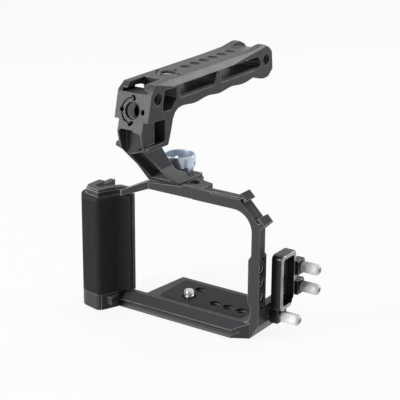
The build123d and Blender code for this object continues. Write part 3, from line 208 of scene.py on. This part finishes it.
def fine_grain_group():
    """Speckle of a blasted, moulded or turned surface, from 0 to 1, in object space."""
    group = bpy.data.node_groups.new("fine_grain", "ShaderNodeTree")
    group.interface.new_socket("Grains per metre", in_out="INPUT", socket_type="NodeSocketFloat")
    group.interface.new_socket("Patches per metre", in_out="INPUT", socket_type="NodeSocketFloat")
    group.interface.new_socket("Grain", in_out="OUTPUT", socket_type="NodeSocketFloat")
    group.interface.new_socket("Patch", in_out="OUTPUT", socket_type="NodeSocketFloat")
    n, link = group.nodes, group.links
    inside = n.new("NodeGroupInput")
    outside = n.new("NodeGroupOutput")
    place = n.new("ShaderNodeTexCoord")
    grain = n.new("ShaderNodeTexNoise")
    grain.inputs["Detail"].default_value = 2.0
    patch = n.new("ShaderNodeTexNoise")
    patch.inputs["Detail"].default_value = 3.0
    link.new(place.outputs["Object"], grain.inputs["Vector"])
    link.new(place.outputs["Object"], patch.inputs["Vector"])
    link.new(inside.outputs["Grains per metre"], grain.inputs["Scale"])
    link.new(inside.outputs["Patches per metre"], patch.inputs["Scale"])
    link.new(grain.outputs["Fac"], outside.inputs["Grain"])
    link.new(patch.outputs["Fac"], outside.inputs["Patch"])
    return group


broken_edges = broken_edges_group()
fine_grain = fine_grain_group()
PATCHES_PER_METRE = 45
PALE_CORNER_STARTS, PALE_CORNER_FULL = 0.2, 0.62    # of the patch value: where a corner is painted paler, as wear and as painted highlight
GRAIN_HEIGHT = 0.05                   # millimetres


def finish(name, flat, corner_wear_and_highlight, roughness, metallic, specular=0.5, corner_mm=0.3, grains=2600,
           bump=0.1, rough_spread=0.08):
    """Material with blasted grain, patchy roughness, and corners painted paler in patches, partly
    as wear and partly as painted highlight.
    """
    material = bpy.data.materials.new(name)
    material.use_nodes = True
    tree = material.node_tree
    n, link = tree.nodes, tree.links
    shader = n["Principled BSDF"]
    shader.inputs["Metallic"].default_value = metallic
    shader.inputs["Specular IOR Level"].default_value = specular
    edges = n.new("ShaderNodeGroup")
    edges.node_tree = broken_edges
    edges.inputs["Corner radius"].default_value = corner_mm * MM
    grain = n.new("ShaderNodeGroup")
    grain.node_tree = fine_grain
    grain.inputs["Grains per metre"].default_value = grains
    grain.inputs["Patches per metre"].default_value = PATCHES_PER_METRE
    # the corners are painted paler in patches: partly wear, partly a painted highlight on the
    # edges
    often = n.new("ShaderNodeMapRange")
    often.inputs["From Min"].default_value = PALE_CORNER_STARTS
    often.inputs["From Max"].default_value = PALE_CORNER_FULL
    link.new(grain.outputs["Patch"], often.inputs["Value"])
    wear_and_highlight_share = n.new("ShaderNodeMath")
    wear_and_highlight_share.operation = "MULTIPLY"
    link.new(edges.outputs["Corner"], wear_and_highlight_share.inputs[0])
    link.new(often.outputs["Result"], wear_and_highlight_share.inputs[1])
    # pale corner colour mixed in: partly wear, partly a painted highlight along the edges
    colour = n.new("ShaderNodeMix")
    colour.data_type = "RGBA"
    colour.inputs["A"].default_value = (*flat, 1)
    colour.inputs["B"].default_value = (*corner_wear_and_highlight, 1)
    link.new(wear_and_highlight_share.outputs[0], colour.inputs["Factor"])
    link.new(colour.outputs["Result"], shader.inputs["Base Color"])
    rough = n.new("ShaderNodeMapRange")
    rough.inputs["To Min"].default_value = roughness - rough_spread
    rough.inputs["To Max"].default_value = roughness + rough_spread
    link.new(grain.outputs["Patch"], rough.inputs["Value"])
    link.new(rough.outputs["Result"], shader.inputs["Roughness"])
    relief = n.new("ShaderNodeBump")
    relief.inputs["Strength"].default_value = bump
    relief.inputs["Distance"].default_value = GRAIN_HEIGHT * MM
    link.new(grain.outputs["Grain"], relief.inputs["Height"])
    link.new(edges.outputs["Normal"], relief.inputs["Normal"])
    link.new(relief.outputs["Normal"], shader.inputs["Normal"])
    return material


def dress(node_name, material):
    """Gives a CAD node its finish."""
    for slot in nodes[node_name].material_slots:
        slot.material = material


# the pale corner colour 0.44 is partly wear and partly a painted highlight along every edge
black_anodised = finish("black_anodised", flat=(0.042, 0.043, 0.046), corner_wear_and_highlight=(0.44, 0.44, 0.45),
                        roughness=0.34, metallic=0.0, specular=0.13, corner_mm=0.7)
for node_name in ("cage_frame", "grip_frame", "handle_frame"):
    dress(node_name, black_anodised)


# =========================================================================================
# Small cuts of the cage and the handle: countersunk mouths of the threads, and the pin holes
# and arc grooves round the two 3/8 in threads, all cut with small tools after the milling
# =========================================================================================
def axis_frame(place, axis):
    """Matrix whose Z runs along an axis from a place, both given in millimetres."""
    turn = Vector(axis).to_track_quat("Z", "Y").to_matrix().to_4x4()
    return Matrix.Translation(Vector(place) * MM) @ turn


def add_turned(bm, stand, profile, around=72, flutes=0, flute_deep=0.0):
    """Closed body of revolution. Profile rows: height, radius, kind of edge round the axis."""
    rings = []
    for height, radius, kind in profile:
        if radius == 0:
            rings.append([bm.verts.new(stand @ Vector((0, 0, height * MM)))])
            continue
        ring = []
        for k in range(around):
            angle = 2 * math.pi * k / around
            r = radius
            if kind == "fluted":
                r -= flute_deep * (0.5 - 0.5 * math.cos(angle * flutes))
            if kind == "hexagon":
                r *= math.cos(math.pi / 6) / math.cos((angle % (math.pi / 3)) - math.pi / 6)
            place = Vector((r * math.cos(angle), r * math.sin(angle), height))
            ring.append(bm.verts.new(stand @ (place * MM)))
        rings.append(ring)
    for low, high in zip(rings, rings[1:]):
        if len(low) == 1 and len(high) == 1:
            continue
        for k in range(around):
            after = (k + 1) % around
            if len(low) == 1:
                bm.faces.new((low[0], high[after], high[k]))
            elif len(high) == 1:
                bm.faces.new((low[k], low[after], high[0]))
            else:
                bm.faces.new((low[k], low[after], high[after], high[k]))


def put(bm, name, material, body="root", smooth_deg=35):
    """Turns a bmesh into a piece that rides on a body."""
    bmesh.ops.recalc_face_normals(bm, faces=bm.faces[:])
    mesh = bpy.data.meshes.new(name)
    bm.to_mesh(mesh)
    bm.free()
    mesh.shade_smooth()
    mesh.set_sharp_from_angle(angle=math.radians(smooth_deg))
    mesh.materials.append(material)
    piece = bpy.data.objects.new(name, mesh)
    bpy.context.scene.collection.objects.link(piece)
    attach(piece, body)
    return piece


QUARTER_R, THREE_EIGHTHS_R = 3.175, 4.7625
SINK_DEEP = 0.7              # countersink at 45 degrees
SINK_FLOOR = 0.1             # its cutter goes on this much further down, inside the bore
PIN_RING_R = 7.62
PIN_DEEP, ARC_DEEP, ARC_WIDE = 3.2, 1.6, 1.1
ABOVE = 0.8                  # cutters start this far outside the face
SAME_POINT = 1e-7            # metres: points closer than this are joined
FLAT_DEG, SHARP_DEG = 0.3, 22    # between faces: flatter ones are one face, steeper ones an edge
LARGE_FACES_LEAD = 100       # 50 shades all faces alike, 100 lets the largest ones lead


def add_sink(bm, stand, radius):
    """Cone that countersinks a round mouth."""
    low = -SINK_DEEP - SINK_FLOOR
    add_turned(bm, stand, ((low, 0, ""), (low, radius - SINK_FLOOR, ""),
                           (ABOVE, radius + SINK_DEEP + ABOVE, ""), (ABOVE, 0, "")), around=64)


def add_prism(bm, stand, outline, low, high):
    """Solid with a flat outline, between two heights."""
    floor_ring, roof_ring = [[bm.verts.new(stand @ (Vector((x, y, z)) * MM)) for x, y in outline]
                             for z in (low, high)]
    bm.faces.new(floor_ring[::-1])
    bm.faces.new(roof_ring)
    for k in range(len(outline)):
        after = (k + 1) % len(outline)
        bm.faces.new((floor_ring[k], floor_ring[after], roof_ring[after], roof_ring[k]))


def slot_outline(one, two, radius, steps=12):
    """Outline of a slot with round ends; one round hole where both ends are the same."""
    along = math.atan2(two[1] - one[1], two[0] - one[0])
    shift, spans = (0.5, steps) if one == two else (0, steps - 1)
    points = []
    for (x, y), start in ((one, along + math.pi / 2), (two, along - math.pi / 2)):
        for k in range(steps):
            angle = start + math.pi * (k + shift) / spans
            points.append((x + radius * math.cos(angle), y + radius * math.sin(angle)))
    return points


def arc_outline(radius, width, first_deg, last_deg, steps=36):
    """Outline of an arc groove round the origin."""
    angles = [math.radians(first_deg + (last_deg - first_deg) * k / steps)
              for k in range(steps + 1)]
    outer, inner = [[(r * math.cos(angle), r * math.sin(angle)) for angle in angles]
                    for r in (radius + width / 2, radius - width / 2)]
    return outer + inner[::-1]


def machined(node_name, name, cutter_meshes, material=black_anodised,
             body="root"):
    """The node's own mesh with small cuts made in it, which stands for the node."""
    bm = bmesh.new()
    bm.from_mesh(nodes[node_name].data)
    bmesh.ops.remove_doubles(bm, verts=bm.verts[:], dist=SAME_POINT)
    bmesh.ops.dissolve_limit(bm, angle_limit=math.radians(FLAT_DEG), verts=bm.verts[:],
                             edges=bm.edges[:])
    piece = put(bm, name, material, body)
    cutters = []
    for cutter_bm in cutter_meshes:
        bmesh.ops.recalc_face_normals(cutter_bm, faces=cutter_bm.faces[:])
        cutter_mesh = bpy.data.meshes.new("cutter")
        cutter_bm.to_mesh(cutter_mesh)
        cutter_bm.free()
        cutter = bpy.data.objects.new("cutter", cutter_mesh)
        bpy.context.scene.collection.objects.link(cutter)
        cut = piece.modifiers.new("cut", "BOOLEAN")
        cut.operation, cut.solver, cut.object = "DIFFERENCE", "EXACT", cutter
        cutters.append(cutter)
    settled = piece.evaluated_get(bpy.context.evaluated_depsgraph_get())
    result = bpy.data.meshes.new_from_object(settled)
    piece.modifiers.clear()
    piece.data = result
    result.materials.clear()
    result.materials.append(material)
    for face in result.polygons:
        face.material_index = 0
    result.shade_smooth()
    result.set_sharp_from_angle(angle=math.radians(SHARP_DEG))
    even = piece.modifiers.new("even", "WEIGHTED_NORMAL")
    even.keep_sharp = True
    even.weight = LARGE_FACES_LEAD
    for cutter in cutters:
        bpy.data.objects.remove(cutter)
    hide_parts(node_name)
    return piece


SIDEWAYS, UP, DOWN = (1, 0, 0), (0, 0, 1), (0, 0, -1)    # ways that the threads open
HEAD_THREAD_DEPTH = 9.0      # its mount lies halfway down
head_mount = next(m for m in frame["record"]["mounts"] if m["name"] == "handle_front_thread")
head_axis = Vector(head_mount["axis"])
head_mouth = Vector(head_mount["pos_m"]) / MM + head_axis * (HEAD_THREAD_DEPTH / 2)
head_stand = axis_frame(head_mouth, head_axis)
BAR_MIDDLE_X, BAR_TOP_Z, BAR_SIDE_X = -10.3, 157.7, 2.0
BAR_BIG_MOUTH = (BAR_MIDDLE_X, -20.7, BAR_TOP_Z)
BAR_FIRST_Y, BAR_STEP = -2.5, 10.05
BAR_MOUTHS = [(BAR_MIDDLE_X, BAR_FIRST_Y + BAR_STEP * i, BAR_TOP_Z) for i in range(6)]
HEAD_SIDE_MOUTH, END_SIDE_MOUTH = (BAR_SIDE_X, -48.8, 148.6), (BAR_SIDE_X, 72.3, 149.0)
bar_stand = axis_frame(BAR_BIG_MOUTH, UP)
# pin holes of the head, two ends and a radius: above, at the sides, below
HEAD_PINS = (((-0.4, 8.3), (0.4, 7.0), 1.25), ((-PIN_RING_R, 0), (-PIN_RING_R, 0), 1.6),
             ((PIN_RING_R, 0.5), (PIN_RING_R, -0.5), 1.25), ((-0.9, -8.3), (0.6, -7.1), 1.25))
BAR_PINS = ((-PIN_RING_R, 0), (PIN_RING_R, 0), (0, -PIN_RING_R), (0, PIN_RING_R))
BAR_PIN_R = 1.5
HEAD_ARC, BAR_ARC = (98, 262), (-10, 100)    # degrees

holes, grooves = bmesh.new(), bmesh.new()
for stand in (head_stand, bar_stand):
    add_sink(holes, stand, THREE_EIGHTHS_R)
for mouth in BAR_MOUTHS:
    add_sink(holes, axis_frame(mouth, UP), QUARTER_R)
for mouth in (HEAD_SIDE_MOUTH, END_SIDE_MOUTH):
    add_sink(holes, axis_frame(mouth, SIDEWAYS), QUARTER_R)
for one, two, radius in HEAD_PINS:
    add_prism(holes, head_stand, slot_outline(one, two, radius), -PIN_DEEP, ABOVE)
for pin in BAR_PINS:
    add_prism(holes, bar_stand, slot_outline(pin, pin, BAR_PIN_R), -PIN_DEEP, ABOVE)
for stand, arc in ((head_stand, HEAD_ARC), (bar_stand, BAR_ARC)):
    add_prism(grooves, stand, arc_outline(PIN_RING_R, ARC_WIDE, *arc), -ARC_DEEP, ABOVE)
machined("handle_frame", "cut_handle", (holes, grooves))

POST_X, POST_Y = 60, -22
POST_THREAD_Z, POST_PIN_Z = (27.2, 36.5, 45.8), (21.0, 52.6)
POST_PIN_R, POST_PIN_DEEP = 1.15, 3.0
BASE_MOUTHS = ((0, 0, 0), (20, -13, 0), (30, -13, 0), (40, -13, 0))
PLATFORM_MOUTH = (7.3, -18.5, 90.4)
BASE_DEPTH, POST_DEPTH, PLATFORM_DEPTH = 9.0, 8.0, 6.4
# mouth, way it opens, depth
CAGE_THREADS = [(mouth, DOWN, BASE_DEPTH) for mouth in BASE_MOUTHS]
CAGE_THREADS += [((POST_X, POST_Y, z), SIDEWAYS, POST_DEPTH) for z in POST_THREAD_Z]
CAGE_THREADS += [(PLATFORM_MOUTH, UP, PLATFORM_DEPTH)]
sinks = bmesh.new()
for mouth, axis, depth in CAGE_THREADS:
    add_sink(sinks, axis_frame(mouth, axis), QUARTER_R)
for z in POST_PIN_Z:         # small locating holes above and below the post's threads
    add_prism(sinks, axis_frame((POST_X, POST_Y, z), SIDEWAYS),
              slot_outline((0, 0), (0, 0), POST_PIN_R), -POST_PIN_DEEP, ABOVE)
machined("cage_frame", "cut_cage", (sinks,))


# =========================================================================================
# Threads cut in the frame and the handle: 1/4 in-20 and 3/8 in-16, one sharp ridge that
# winds down each hole from a lead-in at its mouth
# =========================================================================================
ROOT_HALF, CREST_HALF = 0.44, 0.06    # half widths of the ridge, as shares of the pitch
THREAD_START = 0.05                   # share of its height at which a ridge starts


def add_ridge(bm, stand, base_r, crest_r, pitch, start, end, around=24):
    """Helical ridge of triangular section, closed at both ends; sizes in millimetres."""
    steps = max(2, round((end - start - pitch) / pitch * around))
    rows = []
    for i in range(steps + 1):
        angle = 2 * math.pi * i / around
        height = start + pitch / 2 + (end - start - pitch) * i / steps
        grow = min(1.0, i / (around / 4), (steps - i) / (around / 4))
        crest = base_r + (crest_r - base_r) * max(grow, THREAD_START)
        section = ((base_r, -ROOT_HALF * pitch), (crest, -CREST_HALF * pitch),
                   (crest, CREST_HALF * pitch), (base_r, ROOT_HALF * pitch))
        points = [Vector((r * math.cos(angle), r * math.sin(angle), height + dz))
                  for r, dz in section]
        rows.append([bm.verts.new(stand @ (point * MM)) for point in points])
    for low, high in zip(rows, rows[1:]):
        for k in range(4):
            bm.faces.new((low[k], low[(k + 1) % 4], high[(k + 1) % 4], high[k]))
    bm.faces.new(rows[0])
    bm.faces.new(rows[-1][::-1])


cut_thread = finish("cut_thread", flat=(0.14, 0.14, 0.145), corner_wear_and_highlight=(0.5, 0.5, 0.5), roughness=0.28,
                    metallic=0.8, corner_mm=0.15, bump=0.05)
black_thread = finish("black_thread", flat=(0.03, 0.03, 0.031), corner_wear_and_highlight=(0.3, 0.3, 0.3),
                      roughness=0.3, metallic=0.0, specular=0.3, corner_mm=0.1, bump=0.05)
QUARTER_PITCH, QUARTER_DEEP = 1.27, 0.62
THREE_EIGHTHS_PITCH, THREE_EIGHTHS_DEEP = 1.5875, 0.8
WALL_HIDDEN = 0.04           # the ridge's base is let into the wall by this much
HOLE_LEAD, FLOOR_GAP = 0.5, 0.1    # the ridge keeps this far from the mouth and the floor
BAR_THREAD_DEPTH, SIDE_THREAD_DEPTH = 4.6, 5.0


def cut_hole(name, mouth, axis, depth, r=QUARTER_R, pitch=QUARTER_PITCH, deep=QUARTER_DEEP,
             material=black_thread):
    """Thread ridge in one hole; the axis points out of the mouth."""
    bm = bmesh.new()
    add_ridge(bm, axis_frame(mouth, axis), r + WALL_HIDDEN, r - deep, pitch,
              -depth + FLOOR_GAP, -HOLE_LEAD)
    return put(bm, name, material)


for i, (mouth, axis, depth) in enumerate(CAGE_THREADS):
    cut_hole(f"cage_thread_{i + 1}", mouth, axis, depth,
             material=cut_thread if axis == SIDEWAYS else black_thread)
for i, mouth in enumerate(BAR_MOUTHS):
    cut_hole(f"bar_thread_{i + 1}", mouth, UP, BAR_THREAD_DEPTH)
for name, mouth, axis, depth in (
        ("bar_big_thread", BAR_BIG_MOUTH, UP, BAR_THREAD_DEPTH),
        ("head_big_thread", head_mouth, head_axis, HEAD_THREAD_DEPTH)):
    cut_hole(name, mouth, axis, depth, THREE_EIGHTHS_R, THREE_EIGHTHS_PITCH, THREE_EIGHTHS_DEEP,
             cut_thread)
cut_hole("head_side_thread", HEAD_SIDE_MOUTH, SIDEWAYS, SIDE_THREAD_DEPTH)
cut_hole("end_side_thread", END_SIDE_MOUTH, SIDEWAYS, SIDE_THREAD_DEPTH)


# =========================================================================================
# Grip cover: black silicone moulded with fine upright ribs, pulled over the grip's wall
# between the foot band and the top ring
# =========================================================================================
silicone = finish("silicone", flat=(0.014, 0.014, 0.015), corner_wear_and_highlight=(0.04, 0.04, 0.04), roughness=0.6,
                  metallic=0.0, specular=0.16, corner_mm=0.1, grains=4200, bump=0.25)
GRIP_CORNERS = ((-20, -20.6), (-41, -30.5), (-47.6, -46), (-66.8, -41.8), (-66.8, 20))
GRIP_RADII = (11.0, 3.8, 9.5)
COVER_INNER_LINE = 2.4
RIB_PITCH, RIB_DEEP = 1.15, 0.34
GRIP_FRONT_END, GRIP_BACK_END = -35.3, -8.0
GRIP_MIDDLE = Vector((-55, -25))
STEPS_PER_RIB = 4
END_FADE = 6                 # the ribs fade out over this many steps at both ends


def rounded_route(corners, radii, step):
    """Points about a step apart along straight runs joined by tangent arcs, with normals."""
    pieces = []
    here = Vector(corners[0])
    for i, radius in enumerate(radii):
        corner = Vector(corners[i + 1])
        back = (Vector(corners[i]) - corner).normalized()
        onward = (Vector(corners[i + 2]) - corner).normalized()
        half_angle = back.angle(onward) / 2
        reach = radius / math.tan(half_angle)
        first, last = corner + back * reach, corner + onward * reach
        centre = corner + (back + onward).normalized() * (radius / math.sin(half_angle))
        pieces.append(("run", here, first))
        pieces.append(("arc", first, last, centre, radius))
        here = last
    pieces.append(("run", here, Vector(corners[-1])))
    route = []
    for piece in pieces:
        first, last = piece[1], piece[2]
        if piece[0] == "run":
            count = max(1, round((last - first).length / step))
            for k in range(count):
                route.append(first.lerp(last, k / count))
        else:
            centre, radius = piece[3], piece[4]
            start = math.atan2(*(first - centre).yx)
            sweep = math.atan2(*(last - centre).yx) - start
            sweep = (sweep + math.pi) % (2 * math.pi) - math.pi
            count = max(2, round(abs(sweep) * radius / step))
            for k in range(count):
                angle = start + sweep * k / count
                route.append(centre + radius * Vector((math.cos(angle), math.sin(angle))))
    route.append(Vector(corners[-1]))
    normals = []
    for k, point in enumerate(route):
        ahead_point = route[min(k + 1, len(route) - 1)]
        behind_point = route[max(k - 1, 0)]
        along = (ahead_point - behind_point).normalized()
        normals.append(Vector((-along.y, along.x)))
    return route, normals


cover_low, cover_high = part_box("grip_cover")
route, outward = rounded_route(GRIP_CORNERS, GRIP_RADII, RIB_PITCH / STEPS_PER_RIB)
third = len(route) // 3
if (route[third] - GRIP_MIDDLE).dot(outward[third]) < 0:
    outward = [-n for n in outward]
kept = [k for k, p in enumerate(route) if p.x < GRIP_FRONT_END and p.y < GRIP_BACK_END]
low_z, high_z = cover_low.z / MM, cover_high.z / MM
# height, inset of the outer face, share of the rib's depth
levels = ((low_z, 0.25, 0.0), (low_z + 0.4, 0.02, 1.0), (high_z - 3.0, 0.02, 1.0),
          (high_z - 2.6, 0.02, 0.0), (high_z - 1.0, 0.06, 0.0), (high_z - 0.35, 0.35, 0.0),
          (high_z, 1.0, 0.0))
bm = bmesh.new()
columns = []
for number, k in enumerate(kept):
    valley = 0.5 - 0.5 * math.cos(2 * math.pi * number / STEPS_PER_RIB)
    near_end = min(number, len(kept) - 1 - number)
    fade = min(1.0, near_end / END_FADE)
    column = []
    for z, inset, share in levels:
        depth = inset + RIB_DEEP * share * valley * fade
        p = route[k] - outward[k] * depth
        column.append(bm.verts.new((p.x * MM, p.y * MM, z * MM)))
    for z in (high_z, low_z):
        p = route[k] - outward[k] * COVER_INNER_LINE
        column.append(bm.verts.new((p.x * MM, p.y * MM, z * MM)))
    columns.append(column)
rows = len(columns[0])
for one, two in zip(columns, columns[1:]):
    for k in range(rows):
        bm.faces.new((one[k], one[(k + 1) % rows], two[(k + 1) % rows], two[k]))
bm.faces.new(columns[0])
bm.faces.new(columns[-1][::-1])
ribbed_cover = put(bm, "ribbed_cover", silicone, smooth_deg=50)
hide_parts("grip_cover")


# =========================================================================================
# Plug clamp: its block and two jaws are milled, polished and anodised a deep gloss black; the
# outer rim of the window is painted pale grey, a painted highlight
# =========================================================================================
RIM_PLANE = 68.6             # the rim stands outside this, in millimetres along the part's X
RIM_FACING = 0.6             # and is where the face looks out along X by more than this
# pale grey painted on the rim's outward faces as a painted highlight
RIM_HIGHLIGHT_GREY = (0.42, 0.42, 0.43, 1)
gloss_black = finish("gloss_black", flat=(0.014, 0.014, 0.015), corner_wear_and_highlight=(0.25, 0.25, 0.26),
                     roughness=0.2, metallic=0.0, specular=0.3, corner_mm=0.35, bump=0.03,
                     rough_spread=0.05)
clamp_painted_rim_highlight = gloss_black.copy()
clamp_painted_rim_highlight.name = "clamp_painted_rim_highlight"
tree = clamp_painted_rim_highlight.node_tree
n, link = tree.nodes, tree.links
shader = n["Principled BSDF"]
place = n.new("ShaderNodeTexCoord")
split_place = n.new("ShaderNodeSeparateXYZ")
shape = n.new("ShaderNodeNewGeometry")
split_normal = n.new("ShaderNodeSeparateXYZ")
outside_plane = n.new("ShaderNodeMath")
outside_plane.operation = "GREATER_THAN"
outside_plane.inputs[1].default_value = RIM_PLANE * MM
facing = n.new("ShaderNodeMath")
facing.operation = "GREATER_THAN"
facing.inputs[1].default_value = RIM_FACING
rim_highlight_mask = n.new("ShaderNodeMath")
rim_highlight_mask.operation = "MULTIPLY"
link.new(place.outputs["Object"], split_place.inputs[0])
link.new(split_place.outputs["X"], outside_plane.inputs[0])
link.new(shape.outputs["Normal"], split_normal.inputs[0])
link.new(split_normal.outputs["X"], facing.inputs[0])
link.new(outside_plane.outputs[0], rim_highlight_mask.inputs[0])
link.new(facing.outputs[0], rim_highlight_mask.inputs[1])
black_link = shader.inputs["Base Color"].links[0]
# mixes the painted highlight into the clamp's black where the rim is
rim_highlight_mix = n.new("ShaderNodeMix")
rim_highlight_mix.data_type = "RGBA"
rim_highlight_mix.inputs["B"].default_value = RIM_HIGHLIGHT_GREY
link.new(rim_highlight_mask.outputs[0], rim_highlight_mix.inputs["Factor"])
link.new(black_link.from_socket, rim_highlight_mix.inputs["A"])
link.new(rim_highlight_mix.outputs["Result"], shader.inputs["Base Color"])
dress("clamp_body", clamp_painted_rim_highlight)
for node_name in ("jaw_upper", "jaw_lower"):
    dress(node_name, gloss_black)


# =========================================================================================
# Camera pad, pins and small screws: silicone under the camera, ground steel pins, black-oxide
# screws, and turned steel for the camera screw and the screw in the cup, with cut threads
# =========================================================================================
dress("base_pad", silicone)
dark_steel = finish("dark_steel", flat=(0.05, 0.05, 0.052), corner_wear_and_highlight=(0.2, 0.2, 0.2), roughness=0.35,
                    metallic=0.7, corner_mm=0.1)
bright_steel = finish("bright_steel", flat=(0.55, 0.55, 0.56), corner_wear_and_highlight=(0.75, 0.75, 0.75),
                      roughness=0.28, metallic=1.0, corner_mm=0.12, bump=0.04)
black_plastic = finish("black_plastic", flat=(0.03, 0.03, 0.03), corner_wear_and_highlight=(0.05, 0.05, 0.05),
                       roughness=0.5, metallic=0.0, corner_mm=0.1)
for node_name in ("grip_lap_screws", "grip_foot_screws", "clamp_pins"):
    dress(node_name, dark_steel)
for node_name in ("handle_pins", "clamp_washer"):
    dress(node_name, bright_steel)
# node, body, outer radius, pitch, depth of the groove, where it starts and ends
THREADED_SCREWS = (
    ("camera_screw", "camera_screw_body", 3.115, QUARTER_PITCH, 0.55, 10.5, 15.6),
    ("knob_screw", "knob", 4.7025, THREE_EIGHTHS_PITCH, 0.75, 83.6, 91.9),
)
CUTTER_OUTSIDE = 0.15        # the groove's cutter stands out of the screw by this much
for node_name, body, radius, pitch, deep, low_z, high_z in THREADED_SCREWS:
    low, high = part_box(node_name)
    middle = (low + high) / 2 / MM
    groove = bmesh.new()
    add_ridge(groove, axis_frame((middle.x, middle.y, 0), UP), radius + CUTTER_OUTSIDE,
              radius - deep, pitch, low_z, high_z)
    machined(node_name, f"threaded_{node_name}", (groove,), bright_steel, body)
for node_name in ("camera_screw_washer", "knob_washer"):
    dress(node_name, black_plastic)


# =========================================================================================
# Cup of the handle's locating screw: turned aluminium, blasted and anodised a pale blue
# silver, with six cross holes for a bar
# =========================================================================================
blue_anodised = finish("blue_anodised", flat=(0.52, 0.60, 0.69), corner_wear_and_highlight=(0.8, 0.85, 0.9),
                       roughness=0.3, metallic=0.75, corner_mm=0.2, grains=3000, bump=0.08)
dress("knob_cup", blue_anodised)


# =========================================================================================
# Thumbscrews: silver anodised heads with fine flutes, a smooth rounded end and a hexagon
# socket, turned in one piece with their M4 shanks
# =========================================================================================
silver_anodised = finish("silver_anodised", flat=(0.66, 0.66, 0.67), corner_wear_and_highlight=(0.85, 0.85, 0.85),
                         roughness=0.5, metallic=0.1, corner_mm=0.12, grains=3000, bump=0.06)
HEAD_R, HEAD_LONG = 3.5, 12.2
FLUTES, FLUTE_DEEP = 26, 0.3
STEPS_PER_FLUTE = 8
SOCKET_R, SOCKET_DEEP = 1.75, 7.0
M4_R, M4_PITCH, M4_DEEP = 2.0, 0.7, 0.38
SHOULDER_R, SHOULDER_LONG = 1.9, 0.8
CORE_R = M4_R - M4_DEEP
THUMBSCREWS = (("jaw_screw_upper", "upper_jaw_screw"), ("jaw_screw_lower", "lower_jaw_screw"),
               ("clamp_screw", "clamp_screw_body"))

for node_name, body in THUMBSCREWS:
    low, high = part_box(node_name)
    middle = (low + high) / 2 / MM
    stand = axis_frame((low.x / MM, middle.y, middle.z), SIDEWAYS)
    end = (high.x - low.x) / MM
    start = end - HEAD_LONG
    bm = bmesh.new()
    shank = (
        (0, 0, ""), (0, CORE_R - 0.4, ""), (0.4, CORE_R, ""), (start - SHOULDER_LONG, CORE_R, ""),
        (start - SHOULDER_LONG, SHOULDER_R, ""), (start, SHOULDER_R, ""),
    )
    fluted_head = (
        (start, HEAD_R - 0.6, ""), (start + 0.4, HEAD_R - 0.25, ""),
        (start + 0.6, HEAD_R - 0.1, "fluted"), (start + 1.0, HEAD_R, "fluted"),
        (end - 2.9, HEAD_R, "fluted"), (end - 2.7, HEAD_R - 0.05, ""),
    )
    rounded_end = (
        (end - 2.0, HEAD_R - 0.05, ""), (end - 1.2, HEAD_R - 0.18, ""),
        (end - 0.6, HEAD_R - 0.55, ""), (end - 0.2, HEAD_R - 1.0, ""), (end, HEAD_R - 1.6, ""),
    )
    socket = (
        (end, SOCKET_R + 0.15, "hexagon"), (end - 0.2, SOCKET_R, "hexagon"),
        (end - SOCKET_DEEP, SOCKET_R, "hexagon"), (end - SOCKET_DEEP - 0.4, 0, ""),
    )
    add_turned(bm, stand, shank + fluted_head + rounded_end + socket,
               around=FLUTES * STEPS_PER_FLUTE, flutes=FLUTES, flute_deep=FLUTE_DEEP)
    add_ridge(bm, stand, CORE_R - 0.03, M4_R - 0.01, M4_PITCH, 0.3, start - 0.9, around=20)
    thumbscrew = put(bm, f"fluted_{node_name}", silver_anodised, body, 40)
    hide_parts(node_name)
